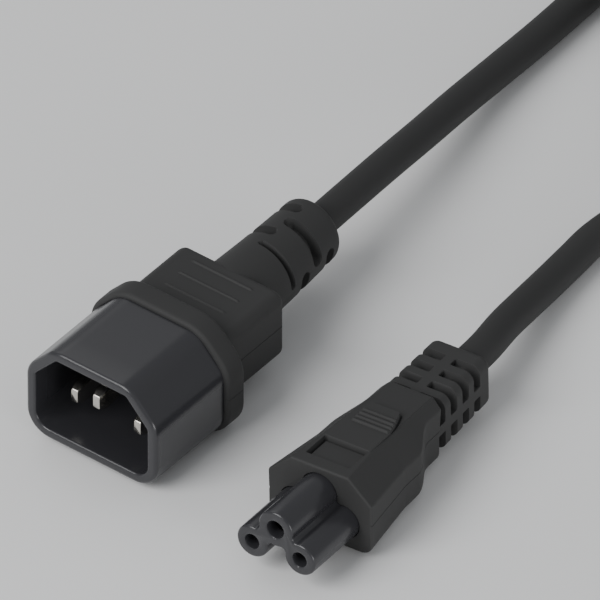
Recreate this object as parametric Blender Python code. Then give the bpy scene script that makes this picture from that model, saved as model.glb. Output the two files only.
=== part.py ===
"""A cloverleaf power cord: a flat-pin plug on one end, a cloverleaf connector on the other.

The plug points along -Y and its cord leaves along +Y. The origin is on the floor, under the
plug's collar. Sizes are in millimetres and are turned into metres by MM.
"""

import math

import bmesh
import bpy
from mathutils import Matrix, Vector

MM = 0.001
GAP = 0.3  # kept between two pieces that touch on the real cord
OVERCUT = 2.0  # how far a cutter runs past the face that it opens
ARC_STEPS = 5  # straight pieces in each rounded corner of an outline
END_STEPS = 3  # straight pieces in each rounded end
SAME_POINT = 0.001  # points closer than this are one
SHARP_ANGLE = math.radians(35)

# Cord
CORD_DIAMETER = 6.2
TUBE_POINT_EVERY = 2.5  # cord diameters between two points of a tube
CURVE_STEPS = 24  # points read between two points of a route
COIL_MIDDLE = 12.0  # cord diameters across the middle of the coil's turns
COIL_TURNS_WIDE = 4.3  # cord diameters from the coil's hole to its outside
COIL_TURNS_HIGH = 2
COIL_CENTRE = (39.5, 166.0)
COIL_EXIT_ANGLE = -45.0  # where the cord leaves the coil, from +X
COIL_SEGMENTS = 56
COIL_EDGE_RADIUS = 2.6
TIE_THICKNESS = 0.8
TIE_WIDTH = 9.0
TIE_ANGLES = (75.0, -105.0)

# Plug shroud, the hard cup round the pins
CAVITY_WIDTH = 24.8
CAVITY_HEIGHT = 16.4
CAVITY_DEPTH = 16.8
CAVITY_CHAMFER_WIDTH = 4.7
CAVITY_CHAMFER_HEIGHT = 5.1
CAVITY_BOTTOM_RADIUS = 2.8
CAVITY_TOP_RADIUS = 0.8
SHROUD_WALL = 2.1
SHROUD_RIM_ROUND = 0.5
PIN_CARRIER = 4.6  # the wall behind the cavity, which holds the pins

# Flat pins
PIN_THICKNESS = 2.0
PIN_WIDTH = 4.0
PIN_BEVEL = 0.6
PIN_BEVEL_LENGTH = 1.2
PIN_SPACING = 14.0  # line pin to neutral pin
PIN_EARTH_RISE = 4.0  # earth pin above the line through the other two
PIN_SETBACK = 4.3  # rim to the tips of the line and neutral pins
PIN_EARTH_SETBACK = 1.6
PIN_SEAT = 3.0  # length of pin inside the carrier

# Plug body, moulded in one with its collar and strain relief
COLLAR_RIM = 1.0  # how far the collar stands out beyond the shroud
COLLAR_LENGTH = 5.0
COLLAR_BEFORE_ORIGIN = 1.5
COLLAR_RADIUS = 5.0
COLLAR_BOTTOM_RADIUS = 6.5
COLLAR_ROUND = 0.7
COLLAR_OVERLAP = 2.2  # length of shroud that the collar grips
GRIP_WIDTH = 23.2
GRIP_HEIGHT = 14.4
GRIP_LENGTH = 16.2
GRIP_CHAMFER = 1.4
GRIP_RADIUS = 1.8
GRIP_BOTTOM_RADIUS = 2.4
GRIP_END_ROUND = 0.9
RIDGE_LENGTH = 13.0
RIDGE_WIDTH = 0.5
RIDGE_HEIGHT = 0.35
RIDGE_PITCH = 3.9
RIDGE_COUNT = 3
RIDGE_FROM_REAR = 3.0
RIDGE_SINK = 0.4  # how far a ridge reaches into the grip under it

# Plug strain relief, a cone with staggered slots
RELIEF_BASE_DIAMETER = 14.2
RELIEF_END_DIAMETER = 12.6
RELIEF_LENGTH = 24.4
RELIEF_LEAN = 0.9  # how far the bent relief's end lies to the left
RELIEF_END_ROUND = 1.6
RELIEF_STEPS = 5  # stretches between the grip and the rounded end
RELIEF_CORE_DIAMETER = 8.8
SLOT_FIRST = 8.6  # grip to the middle of the first slot
SLOT_PITCH = 3.9
SLOT_WIDTHS = (0.8, 2.0, 2.0, 2.0)
SLOT_ARC = 94.0
SLOT_FIRST_ANGLE = 48.0  # middle of the first slot, from +X towards +Z
SLOT_TURN = 90.0
SLOT_STEPS = 10

# Connector body, moulded in one with its strain relief; heights are from the middle of the body
BODY_WIDTH = 21.8
BODY_HEIGHT = 15.0
BODY_TOP_WIDTH = 12.2
BODY_CREASE_WIDTH = 10.4
BODY_REAR_TOP_WIDTH = 9.2
BODY_FLANK_RISE = 3.1  # middle to the top of the upright flanks
BODY_LENGTH = 28.2
BODY_REAR_WIDTH = 12.7
BODY_REAR_HEIGHT = 12.8
BODY_REAR_RISE = 0.4  # how much higher the middle of the rear lies than the middle of the front
BODY_REAR_FLANK_DROP = 1.7  # rear top down to the flanks' top there
BODY_CREASE_AT = 8.6  # front face to where the top starts to fall
BODY_TAPER_END = 13.0  # front face to where the gentle taper ends
BODY_WAIST_WIDTH = 18.6  # width where the flanks start to draw in fast
BODY_WAIST_START = 17.0
BODY_WAIST_END = 24.6
BODY_WAIST_STEPS = 6
BODY_FRONT_ROUND = 0.4
BODY_REAR_ROUND = 0.6
BODY_BOTTOM_RADIUS = 2.4
BODY_EDGE_RADIUS = 0.6
PANEL_WIDTH = 9.0
PANEL_LENGTH = 5.8
PANEL_DEPTH = 0.5
THUMB_WIDTH = 9.4
THUMB_LENGTH = 12.2
THUMB_MIDDLE = 14.9  # front face to the middle of the thumb pad
THUMB_RISE = 0.3  # how much higher the pad's rear is than the crease
THUMB_SINK = 0.05  # how far the pad's plane lies below the crease
THUMB_STEPS = 40
RIB_WIDTH = 0.6
RIB_HEIGHT = 0.35
RIB_LENGTH = 7.0
RIB_PITCH = 1.1
RIB_COUNT = 4
RIB_FIRST = 14.8  # front face to the first rib
RIB_SINK = 0.4

# Connector strain relief, square plates on a core, tied by four bridges
PLATE_WIDTH = 12.2
PLATE_HEIGHT = 10.3
PLATE_TILT = 5.0  # degrees the relief is bent upwards
PLATE_LENGTH = 1.85
PLATE_SPACE = 1.65
FIRST_PLATE_SPACE = 2.4  # body to the first plate
PLATE_COUNT = 3
PLATE_RADIUS = 1.9
END_PLATE_LENGTH = 3.4
END_PLATE_ROUND = 1.1
CORE_WIDTH = 7.6
BRIDGE_WIDTH = 2.4
RELIEF_ROOT = 1.5  # how far the relief's solid reaches into the body

# Cloverleaf nose, the hard insert with the three contacts
NOSE_LENGTH = 13.75
NOSE_SEAT = 5.0  # length of nose inside the body
NOSE_LINE_DROP = 2.0  # middle of the body down to the two lower contacts
NOSE_SPACING = 10.0
NOSE_EARTH_RISE = 4.5
NOSE_LOBE_DIAMETER = 6.4
NOSE_EARTH_LOBE_DIAMETER = 7.2
NOSE_CHAMFER = 0.45
NOSE_FILLET = 0.8  # radius of the hollow corners where the lobes meet
LOBE_STEPS = 22  # straight pieces in the outline's arcs
TOP_STEPS = 10
BOTTOM_STEPS = 2
FILLET_STEPS = 4
SOCKET_DIAMETER = 2.8
SOCKET_EARTH_DIAMETER = 3.4
SOCKET_MOUTH = 2.5  # depth of the narrow mouth in front of each contact
CONTACT_WALL = 0.4
CONTACT_LENGTH = 10.0
CONTACT_STEP = 0.2  # how much wider than the mouth a contact is, in radius
BORE_SEGMENTS = 20

# Where the connector end lies beside the plug: the middle of its front face, and how it is turned
CONNECTOR_RIGHT = 43.5
CONNECTOR_AHEAD = 11.5
CONNECTOR_TURN = 3.6  # degrees to the left
CONNECTOR_ROLL = 3.2  # degrees, its right side up
CORD_SPACE = 0.6  # kept between a strain relief and its cord
CORD_LIFT = 0.35  # how far the connector's cord still rises in its first stretch
CORD_SWING = 0.3  # how far the plug's cord turns aside in its first stretch, and how far it sinks
CORD_SAG = 0.2

# Where the two cord ends pass, behind the strain reliefs and down to the floor
PLUG_CORD_WAY = [
    (-2.4, 66.0, 9.9),
    (-3.9, 79.0, 8.0),
    (-5.65, 92.0, 5.9),
    (-6.8, 105.0, 4.3),
    (-7.4, 118.0, 3.5),
]
CONNECTOR_CORD_WAY = [
    (38.35, 48.0, 6.3),
    (36.95, 56.0, 5.0),
    (35.75, 64.0, 3.9),
    (34.8, 72.0, 3.3),
    (34.3, 80.0, 3.25),
    (35.6, 90.0, 3.4),
    (39.4, 99.5, 4.4),
    (45.0, 107.8, 6.2),
]
COIL_APPROACH = 36.0  # coil's middle back to where the plug's cord lies flat
COIL_LEAD = 3.0  # length of the way's last stretch up to the coil
COIL_LEAD_DROP = 1.6  # top of the coil down to the cord's top there
COIL_END_DROP = 1.3

# Worked out from the sizes above
PLUG_AXIS = CAVITY_HEIGHT / 2 + SHROUD_WALL + COLLAR_RIM
COLLAR_FRONT = -COLLAR_BEFORE_ORIGIN
COLLAR_REAR = COLLAR_FRONT + COLLAR_LENGTH
GRIP_REAR = COLLAR_REAR + GRIP_LENGTH
RELIEF_REAR = GRIP_REAR + RELIEF_LENGTH
SHROUD_REAR = COLLAR_FRONT + COLLAR_OVERLAP
SHROUD_FRONT = SHROUD_REAR - PIN_CARRIER - CAVITY_DEPTH
CAVITY_FLOOR = SHROUD_FRONT + CAVITY_DEPTH
PIN_REAR = CAVITY_FLOOR + PIN_SEAT
PLATES_LENGTH = FIRST_PLATE_SPACE + PLATE_COUNT * (PLATE_LENGTH + PLATE_SPACE) + END_PLATE_LENGTH
CONNECTOR_REAR = BODY_LENGTH + PLATES_LENGTH
FRONT_FOOT = -BODY_HEIGHT / 2
REAR_FOOT = BODY_REAR_RISE - BODY_REAR_HEIGHT / 2
REAR_TOP = BODY_REAR_RISE + BODY_REAR_HEIGHT / 2
CONNECTOR_PITCH = math.atan2(REAR_FOOT - FRONT_FOOT, BODY_LENGTH)  # it lies on the body's underside
RELIEF_SLOPE = math.tan(math.radians(PLATE_TILT))
CORD_RISE = BODY_REAR_RISE + RELIEF_SLOPE * PLATES_LENGTH  # middle of the body up to the cord's exit
COIL_RADIUS = COIL_MIDDLE * CORD_DIAMETER / 2
COIL_WIDTH = COIL_TURNS_WIDE * CORD_DIAMETER
COIL_OUTER = COIL_RADIUS + COIL_WIDTH / 2
COIL_INNER = COIL_RADIUS - COIL_WIDTH / 2
COIL_BOTTOM = TIE_THICKNESS + GAP
COIL_TOP = COIL_BOTTOM + COIL_TURNS_HIGH * CORD_DIAMETER


def material(name, colour, roughness, metallic=0.0):
    """A Principled material with one colour."""
    made = bpy.data.materials.new(name)
    made.use_nodes = True
    shader = made.node_tree.nodes["Principled BSDF"]
    shader.inputs["Base Color"].default_value = (*colour, 1.0)
    shader.inputs["Roughness"].default_value = roughness
    shader.inputs["Metallic"].default_value = metallic
    return made


def rectangle(width, height, centre=(0.0, 0.0)):
    """Four corners, counterclockwise from the lower left."""
    x, z = centre
    w, h = width / 2, height / 2
    return [(x - w, z - h), (x + w, z - h), (x + w, z + h), (x - w, z + h)]


def roofed(width, bottom, flank, top, top_width):
    """Six corners of a box whose two upper corners are cut off, counterclockwise from the lower left."""
    w, t = width / 2, top_width / 2
    return [(-w, bottom), (w, bottom), (w, flank), (t, top), (-t, top), (-w, flank)]


def hexagon(width, height):
    """Six corners round a circle of this width, at this height; fully rounded they make the circle."""
    reach = width / 2 / math.cos(math.radians(30))
    turns = [math.radians(60 * i - 120) for i in range(6)]
    return [(reach * math.cos(a), height + reach * math.sin(a)) for a in turns]


def inset(corners, depth):
    """The corners of the outline whose every edge lies deeper by this much."""
    count = len(corners)
    moved = []
    for i in range(count):
        before, here, after = (Vector(corners[j % count]) for j in (i - 1, i, i + 1))
        into = (here - before).normalized()
        out = (after - here).normalized()
        normal_in = Vector((-into.y, into.x))
        normal_out = Vector((-out.y, out.x))
        moved.append(here + (normal_in + normal_out) * depth / (1.0 + normal_in.dot(normal_out)))
    return moved


def outline(corners, radii, depth=0.0):
    """The corners joined by straight edges, each corner rounded to its radius; depth insets the whole."""
    corners = inset(corners, depth)
    count = len(corners)
    points = []
    for i in range(count):
        before, here, after = (Vector(corners[j % count]) for j in (i - 1, i, i + 1))
        back = (before - here).normalized()
        ahead = (after - here).normalized()
        half = back.angle(ahead) / 2
        radius = max(radii[i] - depth, 0.05)
        centre = here + (back + ahead).normalized() * radius / math.sin(half)
        start = here + back * radius / math.tan(half) - centre
        sweep = math.pi - 2 * half
        for step in range(ARC_STEPS + 1):
            angle = sweep * step / ARC_STEPS
            turn = Matrix.Rotation(angle, 2)
            points.append(centre + turn @ start)
    return [tuple(point) for point in points]


def rounded_end(corners, radii, face, radius, direction):
    """Rings that round an end: from the face inwards along the direction, +1 or -1."""
    rings = []
    for step in range(END_STEPS + 1):
        angle = math.pi / 2 * step / END_STEPS
        depth = radius * (1 - math.sin(angle))
        rings.append((face + direction * radius * (1 - math.cos(angle)), outline(corners, radii, depth)))
    return rings


def solid_mesh(name, faces_of):
    """A mesh in metres from a function that fills a bmesh in millimetres; its faces are turned outwards."""
    shape = bmesh.new()
    faces_of(shape)
    bmesh.ops.remove_doubles(shape, verts=shape.verts, dist=SAME_POINT)
    bmesh.ops.scale(shape, vec=(MM, MM, MM), verts=shape.verts)
    bmesh.ops.recalc_face_normals(shape, faces=shape.faces)
    mesh = bpy.data.meshes.new(name)
    shape.to_mesh(mesh)
    shape.free()
    mesh.shade_smooth()
    mesh.set_sharp_from_angle(angle=SHARP_ANGLE)
    return mesh


def add_loft(shape, rings):
    """Skin between rings, each given as its Y and its outline in X and Z, with a face on either end."""
    rows = [[shape.verts.new((x, y, z)) for x, z in points] for y, points in rings]
    for near, far in zip(rows, rows[1:]):
        for i in range(len(near)):
            j = (i + 1) % len(near)
            shape.faces.new((near[i], near[j], far[j], far[i]))
    shape.faces.new(rows[0])
    shape.faces.new(list(reversed(rows[-1])))


def place(name, mesh, parent, finish=None):
    """An object for the mesh under its parent; one without a finish is a cutter or a guide."""
    made = bpy.data.objects.new(name, mesh)
    bpy.context.scene.collection.objects.link(made)
    made.parent = parent
    if finish is None:
        made.hide_render = True
        made.display_type = "WIRE"
    else:
        mesh.materials.append(finish)
    return made


def loft(name, rings, parent, finish=None):
    """A lofted solid."""
    return place(name, solid_mesh(name, lambda shape: add_loft(shape, rings)), parent, finish)


def combine(target, tool, operation):
    """Join a tool to the target, or cut it out."""
    modifier = target.modifiers.new(tool.name, "BOOLEAN")
    modifier.object = tool
    modifier.operation = operation
    modifier.solver = "EXACT"


def empty(name, frame):
    """A point that carries one end of the cord, placed by a frame in millimetres."""
    made = bpy.data.objects.new(name, None)
    made.location = frame.to_translation() * MM
    made.rotation_euler = frame.to_euler()
    bpy.context.scene.collection.objects.link(made)
    return made


def connector_frame():
    """The connector's frame: turned, tipped onto its underside, rolled, and let down to the floor."""
    turned = Matrix.Rotation(math.radians(CONNECTOR_TURN), 4, "Z")
    tipped = Matrix.Rotation(-CONNECTOR_PITCH, 4, "X")
    rolled = Matrix.Rotation(-math.radians(CONNECTOR_ROLL), 4, "Y")
    posed = turned @ tipped @ rolled
    feet = [
        (0.0, FRONT_FOOT, BODY_WIDTH / 2),
        (BODY_LENGTH, REAR_FOOT, BODY_REAR_WIDTH / 2),
    ]
    lowest = min(
        (posed @ Vector((side * (reach - BODY_BOTTOM_RADIUS), y, foot + BODY_BOTTOM_RADIUS))).z
        for y, foot, reach in feet
        for side in (-1, 1)
    )
    lowest -= BODY_BOTTOM_RADIUS
    return Matrix.Translation((CONNECTOR_RIGHT, -CONNECTOR_AHEAD, -lowest)) @ posed


def circle(radius, centre, segments):
    """Points round a centre in X and Z."""
    turns = [2 * math.pi * i / segments for i in range(segments)]
    return [(centre[0] + radius * math.cos(a), centre[1] + radius * math.sin(a)) for a in turns]


def straight(corners, y0, y1):
    """Two rings of a plain extrusion."""
    return [(y0, corners), (y1, corners)]


def pin_places():
    """Name, middle and tip of each flat pin."""
    low = PLUG_AXIS - PIN_EARTH_RISE / 2
    tip = SHROUD_FRONT + PIN_SETBACK
    return [
        ("pin_line", (-PIN_SPACING / 2, low), tip),
        ("pin_neutral", (PIN_SPACING / 2, low), tip),
        ("pin_earth", (0.0, low + PIN_EARTH_RISE), SHROUD_FRONT + PIN_EARTH_SETBACK),
    ]


def cavity_corners(grow=0.0):
    """The plug cavity's outline, or one that lies outside it by this much."""
    low = PLUG_AXIS - CAVITY_HEIGHT / 2
    top = PLUG_AXIS + CAVITY_HEIGHT / 2
    corners = roofed(
        CAVITY_WIDTH, low, top - CAVITY_CHAMFER_HEIGHT, top, CAVITY_WIDTH - 2 * CAVITY_CHAMFER_WIDTH
    )
    return inset(corners, -grow)


def cavity_radii(grow=0.0):
    """The rounding of the cavity's six corners, or of an outline outside it."""
    return [CAVITY_BOTTOM_RADIUS + grow] * 2 + [CAVITY_TOP_RADIUS + grow] * 4


def shroud_corner_rings(start, end, clearance=0.0):
    """A plain stretch of the shroud's outside, or of the pocket that takes it."""
    grow = SHROUD_WALL + clearance
    return straight(outline(cavity_corners(grow), cavity_radii(grow)), start, end)


def make_shroud(parent, finish):
    """The cup: cavity floor, inner wall, rounded rim, outer wall and back."""
    inner, inner_radii = cavity_corners(), cavity_radii()
    outer, outer_radii = cavity_corners(SHROUD_WALL), cavity_radii(SHROUD_WALL)
    rings = [(CAVITY_FLOOR, outline(inner, inner_radii))]
    for step in range(END_STEPS + 1):
        angle = math.pi / 2 * step / END_STEPS
        grow = SHROUD_RIM_ROUND * (1 - math.cos(angle))
        y = SHROUD_FRONT + SHROUD_RIM_ROUND * (1 - math.sin(angle))
        rings.append((y, outline(inner, inner_radii, -grow)))
    rings += rounded_end(outer, outer_radii, SHROUD_FRONT, SHROUD_RIM_ROUND, 1)
    rings.append((SHROUD_REAR, outline(outer, outer_radii)))
    shroud = loft("plug_shroud", rings, parent, finish)
    for name, centre, _ in pin_places():
        hole = rectangle(PIN_THICKNESS + 2 * GAP, PIN_WIDTH + 2 * GAP, centre)
        cutter = loft(
            f"{name}_seat", straight(hole, CAVITY_FLOOR - OVERCUT, PIN_REAR + GAP), parent
        )
        combine(shroud, cutter, "DIFFERENCE")
    return shroud


def make_pins(parent, finish):
    """Three flat pins with bevelled tips."""
    for name, centre, tip in pin_places():
        full = rectangle(PIN_THICKNESS, PIN_WIDTH, centre)
        rings = [(tip, inset(full, PIN_BEVEL)), (tip + PIN_BEVEL_LENGTH, full), (PIN_REAR, full)]
        loft(name, rings, parent, finish)


def add_sector(shape, y0, y1, radii, angles, centre):
    """A stretch of a thick ring round a line along Y, between two angles."""
    turns = [angles[0] + (angles[1] - angles[0]) * i / SLOT_STEPS for i in range(SLOT_STEPS + 1)]
    inner, outer = (
        [(centre[0] + r * math.cos(a), centre[1] + r * math.sin(a)) for a in turns] for r in radii
    )
    add_loft(shape, straight(outer + inner[::-1], y0, y1))


def relief_lean(y):
    """How far to the left the bent relief's middle lies at this distance behind the grip."""
    return -RELIEF_LEAN * (y / RELIEF_LENGTH) ** 2


def make_plug_body(parent, finish):
    """Collar, grip and strain relief in one moulding."""
    collar = cavity_corners(SHROUD_WALL + COLLAR_RIM)
    collar_radii = [COLLAR_BOTTOM_RADIUS] * 2 + [COLLAR_RADIUS] * 4
    grip_top = PLUG_AXIS + GRIP_HEIGHT / 2
    grip = roofed(
        GRIP_WIDTH, grip_top - GRIP_HEIGHT, grip_top - GRIP_CHAMFER, grip_top, GRIP_WIDTH - 2 * GRIP_CHAMFER
    )
    grip_radii = [GRIP_BOTTOM_RADIUS] * 2 + [GRIP_RADIUS] * 4
    base = hexagon(RELIEF_BASE_DIAMETER, PLUG_AXIS)
    end = hexagon(RELIEF_END_DIAMETER, PLUG_AXIS)
    base_radii = [RELIEF_BASE_DIAMETER / 2] * 6
    end_radii = [RELIEF_END_DIAMETER / 2] * 6
    rings = rounded_end(collar, collar_radii, COLLAR_FRONT, COLLAR_ROUND, 1)
    rings += rounded_end(collar, collar_radii, COLLAR_REAR, COLLAR_ROUND, -1)[::-1]
    rings.append((COLLAR_REAR, outline(grip, grip_radii)))
    rings += rounded_end(grip, grip_radii, GRIP_REAR, GRIP_END_ROUND, -1)[::-1]
    rings.append((GRIP_REAR, outline(base, base_radii)))
    for step in range(1, RELIEF_STEPS):
        share = step / RELIEF_STEPS
        width = RELIEF_BASE_DIAMETER + (RELIEF_END_DIAMETER - RELIEF_BASE_DIAMETER) * share
        y = share * (RELIEF_LENGTH - RELIEF_END_ROUND)
        ring = outline(hexagon(width, PLUG_AXIS), [width / 2] * 6)
        rings.append((GRIP_REAR + y, [(x + relief_lean(y), z) for x, z in ring]))
    for y, ring in rounded_end(end, end_radii, RELIEF_REAR, RELIEF_END_ROUND, -1)[::-1]:
        rings.append((y, [(x + relief_lean(y - GRIP_REAR), z) for x, z in ring]))
    body = loft("plug_body", rings, parent, finish)

    pocket = shroud_corner_rings(COLLAR_FRONT - OVERCUT, SHROUD_REAR + GAP, GAP)
    combine(body, loft("shroud_pocket", pocket, parent), "DIFFERENCE")

    def slots(shape):
        for number, width in enumerate(SLOT_WIDTHS):
            middle = GRIP_REAR + SLOT_FIRST + number * SLOT_PITCH
            for side in (0.0, 180.0):
                heading = SLOT_FIRST_ANGLE + number * SLOT_TURN + side
                ends = [math.radians(heading + half * SLOT_ARC / 2) for half in (-1, 1)]
                radii = (RELIEF_CORE_DIAMETER / 2, RELIEF_BASE_DIAMETER / 2 + OVERCUT)
                centre = (relief_lean(middle - GRIP_REAR), PLUG_AXIS)
                add_sector(shape, middle - width / 2, middle + width / 2, radii, ends, centre)

    combine(body, place("relief_slots", solid_mesh("relief_slots", slots), parent), "DIFFERENCE")

    def ridges(shape):
        top = PLUG_AXIS + GRIP_HEIGHT / 2
        for number in range(RIDGE_COUNT):
            y = GRIP_REAR - RIDGE_FROM_REAR - number * RIDGE_PITCH
            centre = (0.0, top + (RIDGE_HEIGHT - RIDGE_SINK) / 2)
            bar = rectangle(RIDGE_LENGTH, RIDGE_SINK + RIDGE_HEIGHT, centre)
            add_loft(shape, straight(bar, y - RIDGE_WIDTH / 2, y + RIDGE_WIDTH / 2))

    combine(body, place("grip_ridges", solid_mesh("grip_ridges", ridges), parent), "UNION")
    return body


def lobes():
    """Name of the contact, centre, lobe radius and socket radius of the nose's three lobes."""
    side = NOSE_SPACING / 2
    low = -NOSE_LINE_DROP
    small, large = NOSE_LOBE_DIAMETER / 2, NOSE_EARTH_LOBE_DIAMETER / 2
    return [
        ("contact_line", (-side, low), small, SOCKET_DIAMETER / 2),
        ("contact_neutral", (side, low), small, SOCKET_DIAMETER / 2),
        ("contact_earth", (0.0, low + NOSE_EARTH_RISE), large, SOCKET_EARTH_DIAMETER / 2),
    ]


def swept(centre, radius, start, end, steps, onward):
    """Points of a circle from the direction of one place to that of another, without the last."""
    first = math.atan2(start[1] - centre[1], start[0] - centre[0])
    last = math.atan2(end[1] - centre[1], end[0] - centre[0])
    sweep = (last - first) * onward % (2 * math.pi) * onward
    turns = [first + sweep * i / steps for i in range(steps)]
    return [(centre[0] + radius * math.cos(t), centre[1] + radius * math.sin(t)) for t in turns]


def clover_outline(grow):
    """Outline of the three lobes with hollow corners between them, or one outside it by this much."""
    side, low = NOSE_SPACING / 2, -NOSE_LINE_DROP
    high = low + NOSE_EARTH_RISE
    small, large = NOSE_LOBE_DIAMETER / 2 + grow, NOSE_EARTH_LOBE_DIAMETER / 2 + grow
    hollow = NOSE_FILLET - grow
    apart = math.hypot(side, high - low)
    way = (-side / apart, (high - low) / apart)
    along = ((small + hollow) ** 2 - (large + hollow) ** 2 + apart**2) / (2 * apart)
    aside = math.sqrt((small + hollow) ** 2 - along**2)
    lobe, top = (side, low), (0.0, high)
    outer, inner = (
        (side + along * way[0] + turn * way[1], low + along * way[1] - turn * way[0])
        for turn in (aside, -aside)
    )
    right = swept(top, large, (0.0, high - 1), inner, BOTTOM_STEPS, 1)
    right += swept(inner, hollow, top, lobe, FILLET_STEPS, -1)
    right += swept(lobe, small, inner, outer, LOBE_STEPS, 1)
    right += swept(outer, hollow, lobe, top, FILLET_STEPS, -1)
    right += swept(top, large, outer, (0.0, high + 1), TOP_STEPS, 1)
    return right + [(0.0, high + large)] + [(-x, z) for x, z in reversed(right[1:])]


def clover(name, front, rear, grow, chamfer, parent, finish=None):
    """The nose's outline carried along Y; grow makes the pocket that takes the nose."""
    rings = straight(clover_outline(grow), front + chamfer, rear)
    if chamfer > 0:
        rings = [(front, clover_outline(grow - chamfer))] + rings
    return loft(name, rings, parent, finish)


def make_nose(parent, finish):
    """The cloverleaf insert, with a stepped bore in each lobe."""
    nose = clover("connector_nose", -NOSE_LENGTH, NOSE_SEAT, 0.0, NOSE_CHAMFER, parent, finish)
    for name, centre, _, bore in lobes():
        mouth = circle(bore, centre, BORE_SEGMENTS)
        room = circle(bore + CONTACT_STEP + GAP, centre, BORE_SEGMENTS)
        shoulder = -NOSE_LENGTH + SOCKET_MOUTH
        rings = [
            (-NOSE_LENGTH - OVERCUT, mouth),
            (shoulder, mouth),
            (shoulder, room),
            (shoulder + CONTACT_LENGTH + 2 * GAP, room),
        ]
        combine(nose, loft(f"{name}_bore", rings, parent), "DIFFERENCE")
    return nose


def make_contacts(parent, finish):
    """A sleeve behind each of the nose's three mouths."""
    for name, centre, _, bore in lobes():
        outer = bore + CONTACT_STEP
        front = -NOSE_LENGTH + SOCKET_MOUTH + GAP
        rings = [
            (front + CONTACT_LENGTH - CONTACT_WALL, circle(outer - CONTACT_WALL, centre, BORE_SEGMENTS)),
            (front, circle(outer - CONTACT_WALL, centre, BORE_SEGMENTS)),
            (front, circle(outer, centre, BORE_SEGMENTS)),
            (front + CONTACT_LENGTH, circle(outer, centre, BORE_SEGMENTS)),
        ]
        loft(name, rings, parent, finish)


def body_ring(y, depth=0.0):
    """The connector body's outline at this distance behind its front face."""
    reach = min(max((y - BODY_WAIST_START) / (BODY_WAIST_END - BODY_WAIST_START), 0.0), 1.0)
    ease = reach * reach * (3 - 2 * reach)
    taper = BODY_WIDTH - (BODY_WIDTH - BODY_WAIST_WIDTH) * min(y / BODY_TAPER_END, 1.0)
    width = taper + (BODY_REAR_WIDTH - BODY_WAIST_WIDTH) * ease
    before = min(y / BODY_CREASE_AT, 1.0)
    fall = max(y - BODY_CREASE_AT, 0.0) / (BODY_LENGTH - BODY_CREASE_AT)
    top_width = BODY_TOP_WIDTH + (BODY_CREASE_WIDTH - BODY_TOP_WIDTH) * before
    top_width += (BODY_REAR_TOP_WIDTH - BODY_CREASE_WIDTH) * fall
    top = BODY_HEIGHT / 2 + (REAR_TOP - BODY_HEIGHT / 2) * fall
    bottom = FRONT_FOOT + (REAR_FOOT - FRONT_FOOT) * y / BODY_LENGTH
    rear_flank = REAR_TOP - BODY_REAR_FLANK_DROP
    flank = BODY_FLANK_RISE + (rear_flank - BODY_FLANK_RISE) * ease
    corners = roofed(width, bottom, flank, top, top_width)
    radii = [BODY_BOTTOM_RADIUS] * 2 + [BODY_EDGE_RADIUS] * 4
    return outline(corners, radii, depth)


def make_connector_body(parent, finish):
    """Body and strain relief in one moulding."""
    waist = BODY_WAIST_END - BODY_WAIST_START
    stations = [BODY_FRONT_ROUND, BODY_CREASE_AT, BODY_TAPER_END]
    stations += [BODY_WAIST_START + waist * i / BODY_WAIST_STEPS for i in range(BODY_WAIST_STEPS + 1)]
    stations.append(BODY_LENGTH - BODY_REAR_ROUND)
    rings = [(0.0, body_ring(0.0, BODY_FRONT_ROUND))]
    rings += [(y, body_ring(y)) for y in stations]
    rings.append((BODY_LENGTH, body_ring(BODY_LENGTH, BODY_REAR_ROUND)))
    body = loft("connector_body", rings, parent, finish)

    plate = rectangle(PLATE_WIDTH, PLATE_HEIGHT, (0.0, BODY_REAR_RISE))
    radii = [PLATE_RADIUS] * 4
    rings = [(BODY_LENGTH - RELIEF_ROOT, outline(plate, radii))]
    rings += rounded_end(plate, radii, CONNECTOR_REAR, END_PLATE_ROUND, -1)[::-1]
    relief = loft("connector_relief", rings, parent)

    def slots(shape):
        core, bridge = CORE_WIDTH / 2, BRIDGE_WIDTH / 2
        out = max(PLATE_WIDTH, PLATE_HEIGHT) / 2 + OVERCUT
        for number in range(PLATE_COUNT + 1):
            start = BODY_LENGTH
            if number:
                start += FIRST_PLATE_SPACE + (number - 1) * PLATE_SPACE + number * PLATE_LENGTH
            end = start + (PLATE_SPACE if number else FIRST_PLATE_SPACE)
            edges = ((core, bridge), (out, bridge), (out, out), (bridge, out), (bridge, core), (core, core))
            for sx in (-1, 1):
                for sz in (-1, 1):
                    points = [(sx * x, BODY_REAR_RISE + sz * z) for x, z in edges]
                    add_loft(shape, straight(points, start, end))

    cutter = place("plate_spaces", solid_mesh("plate_spaces", slots), parent)
    combine(relief, cutter, "DIFFERENCE")
    for vertex in relief.data.vertices:
        vertex.co.z += RELIEF_SLOPE * (vertex.co.y - BODY_LENGTH * MM)
    combine(body, relief, "UNION")

    pocket = clover("nose_pocket", -OVERCUT, NOSE_SEAT + GAP, GAP, 0.0, parent)
    combine(body, pocket, "DIFFERENCE")
    make_top_relief(body, parent)
    return body


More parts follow.
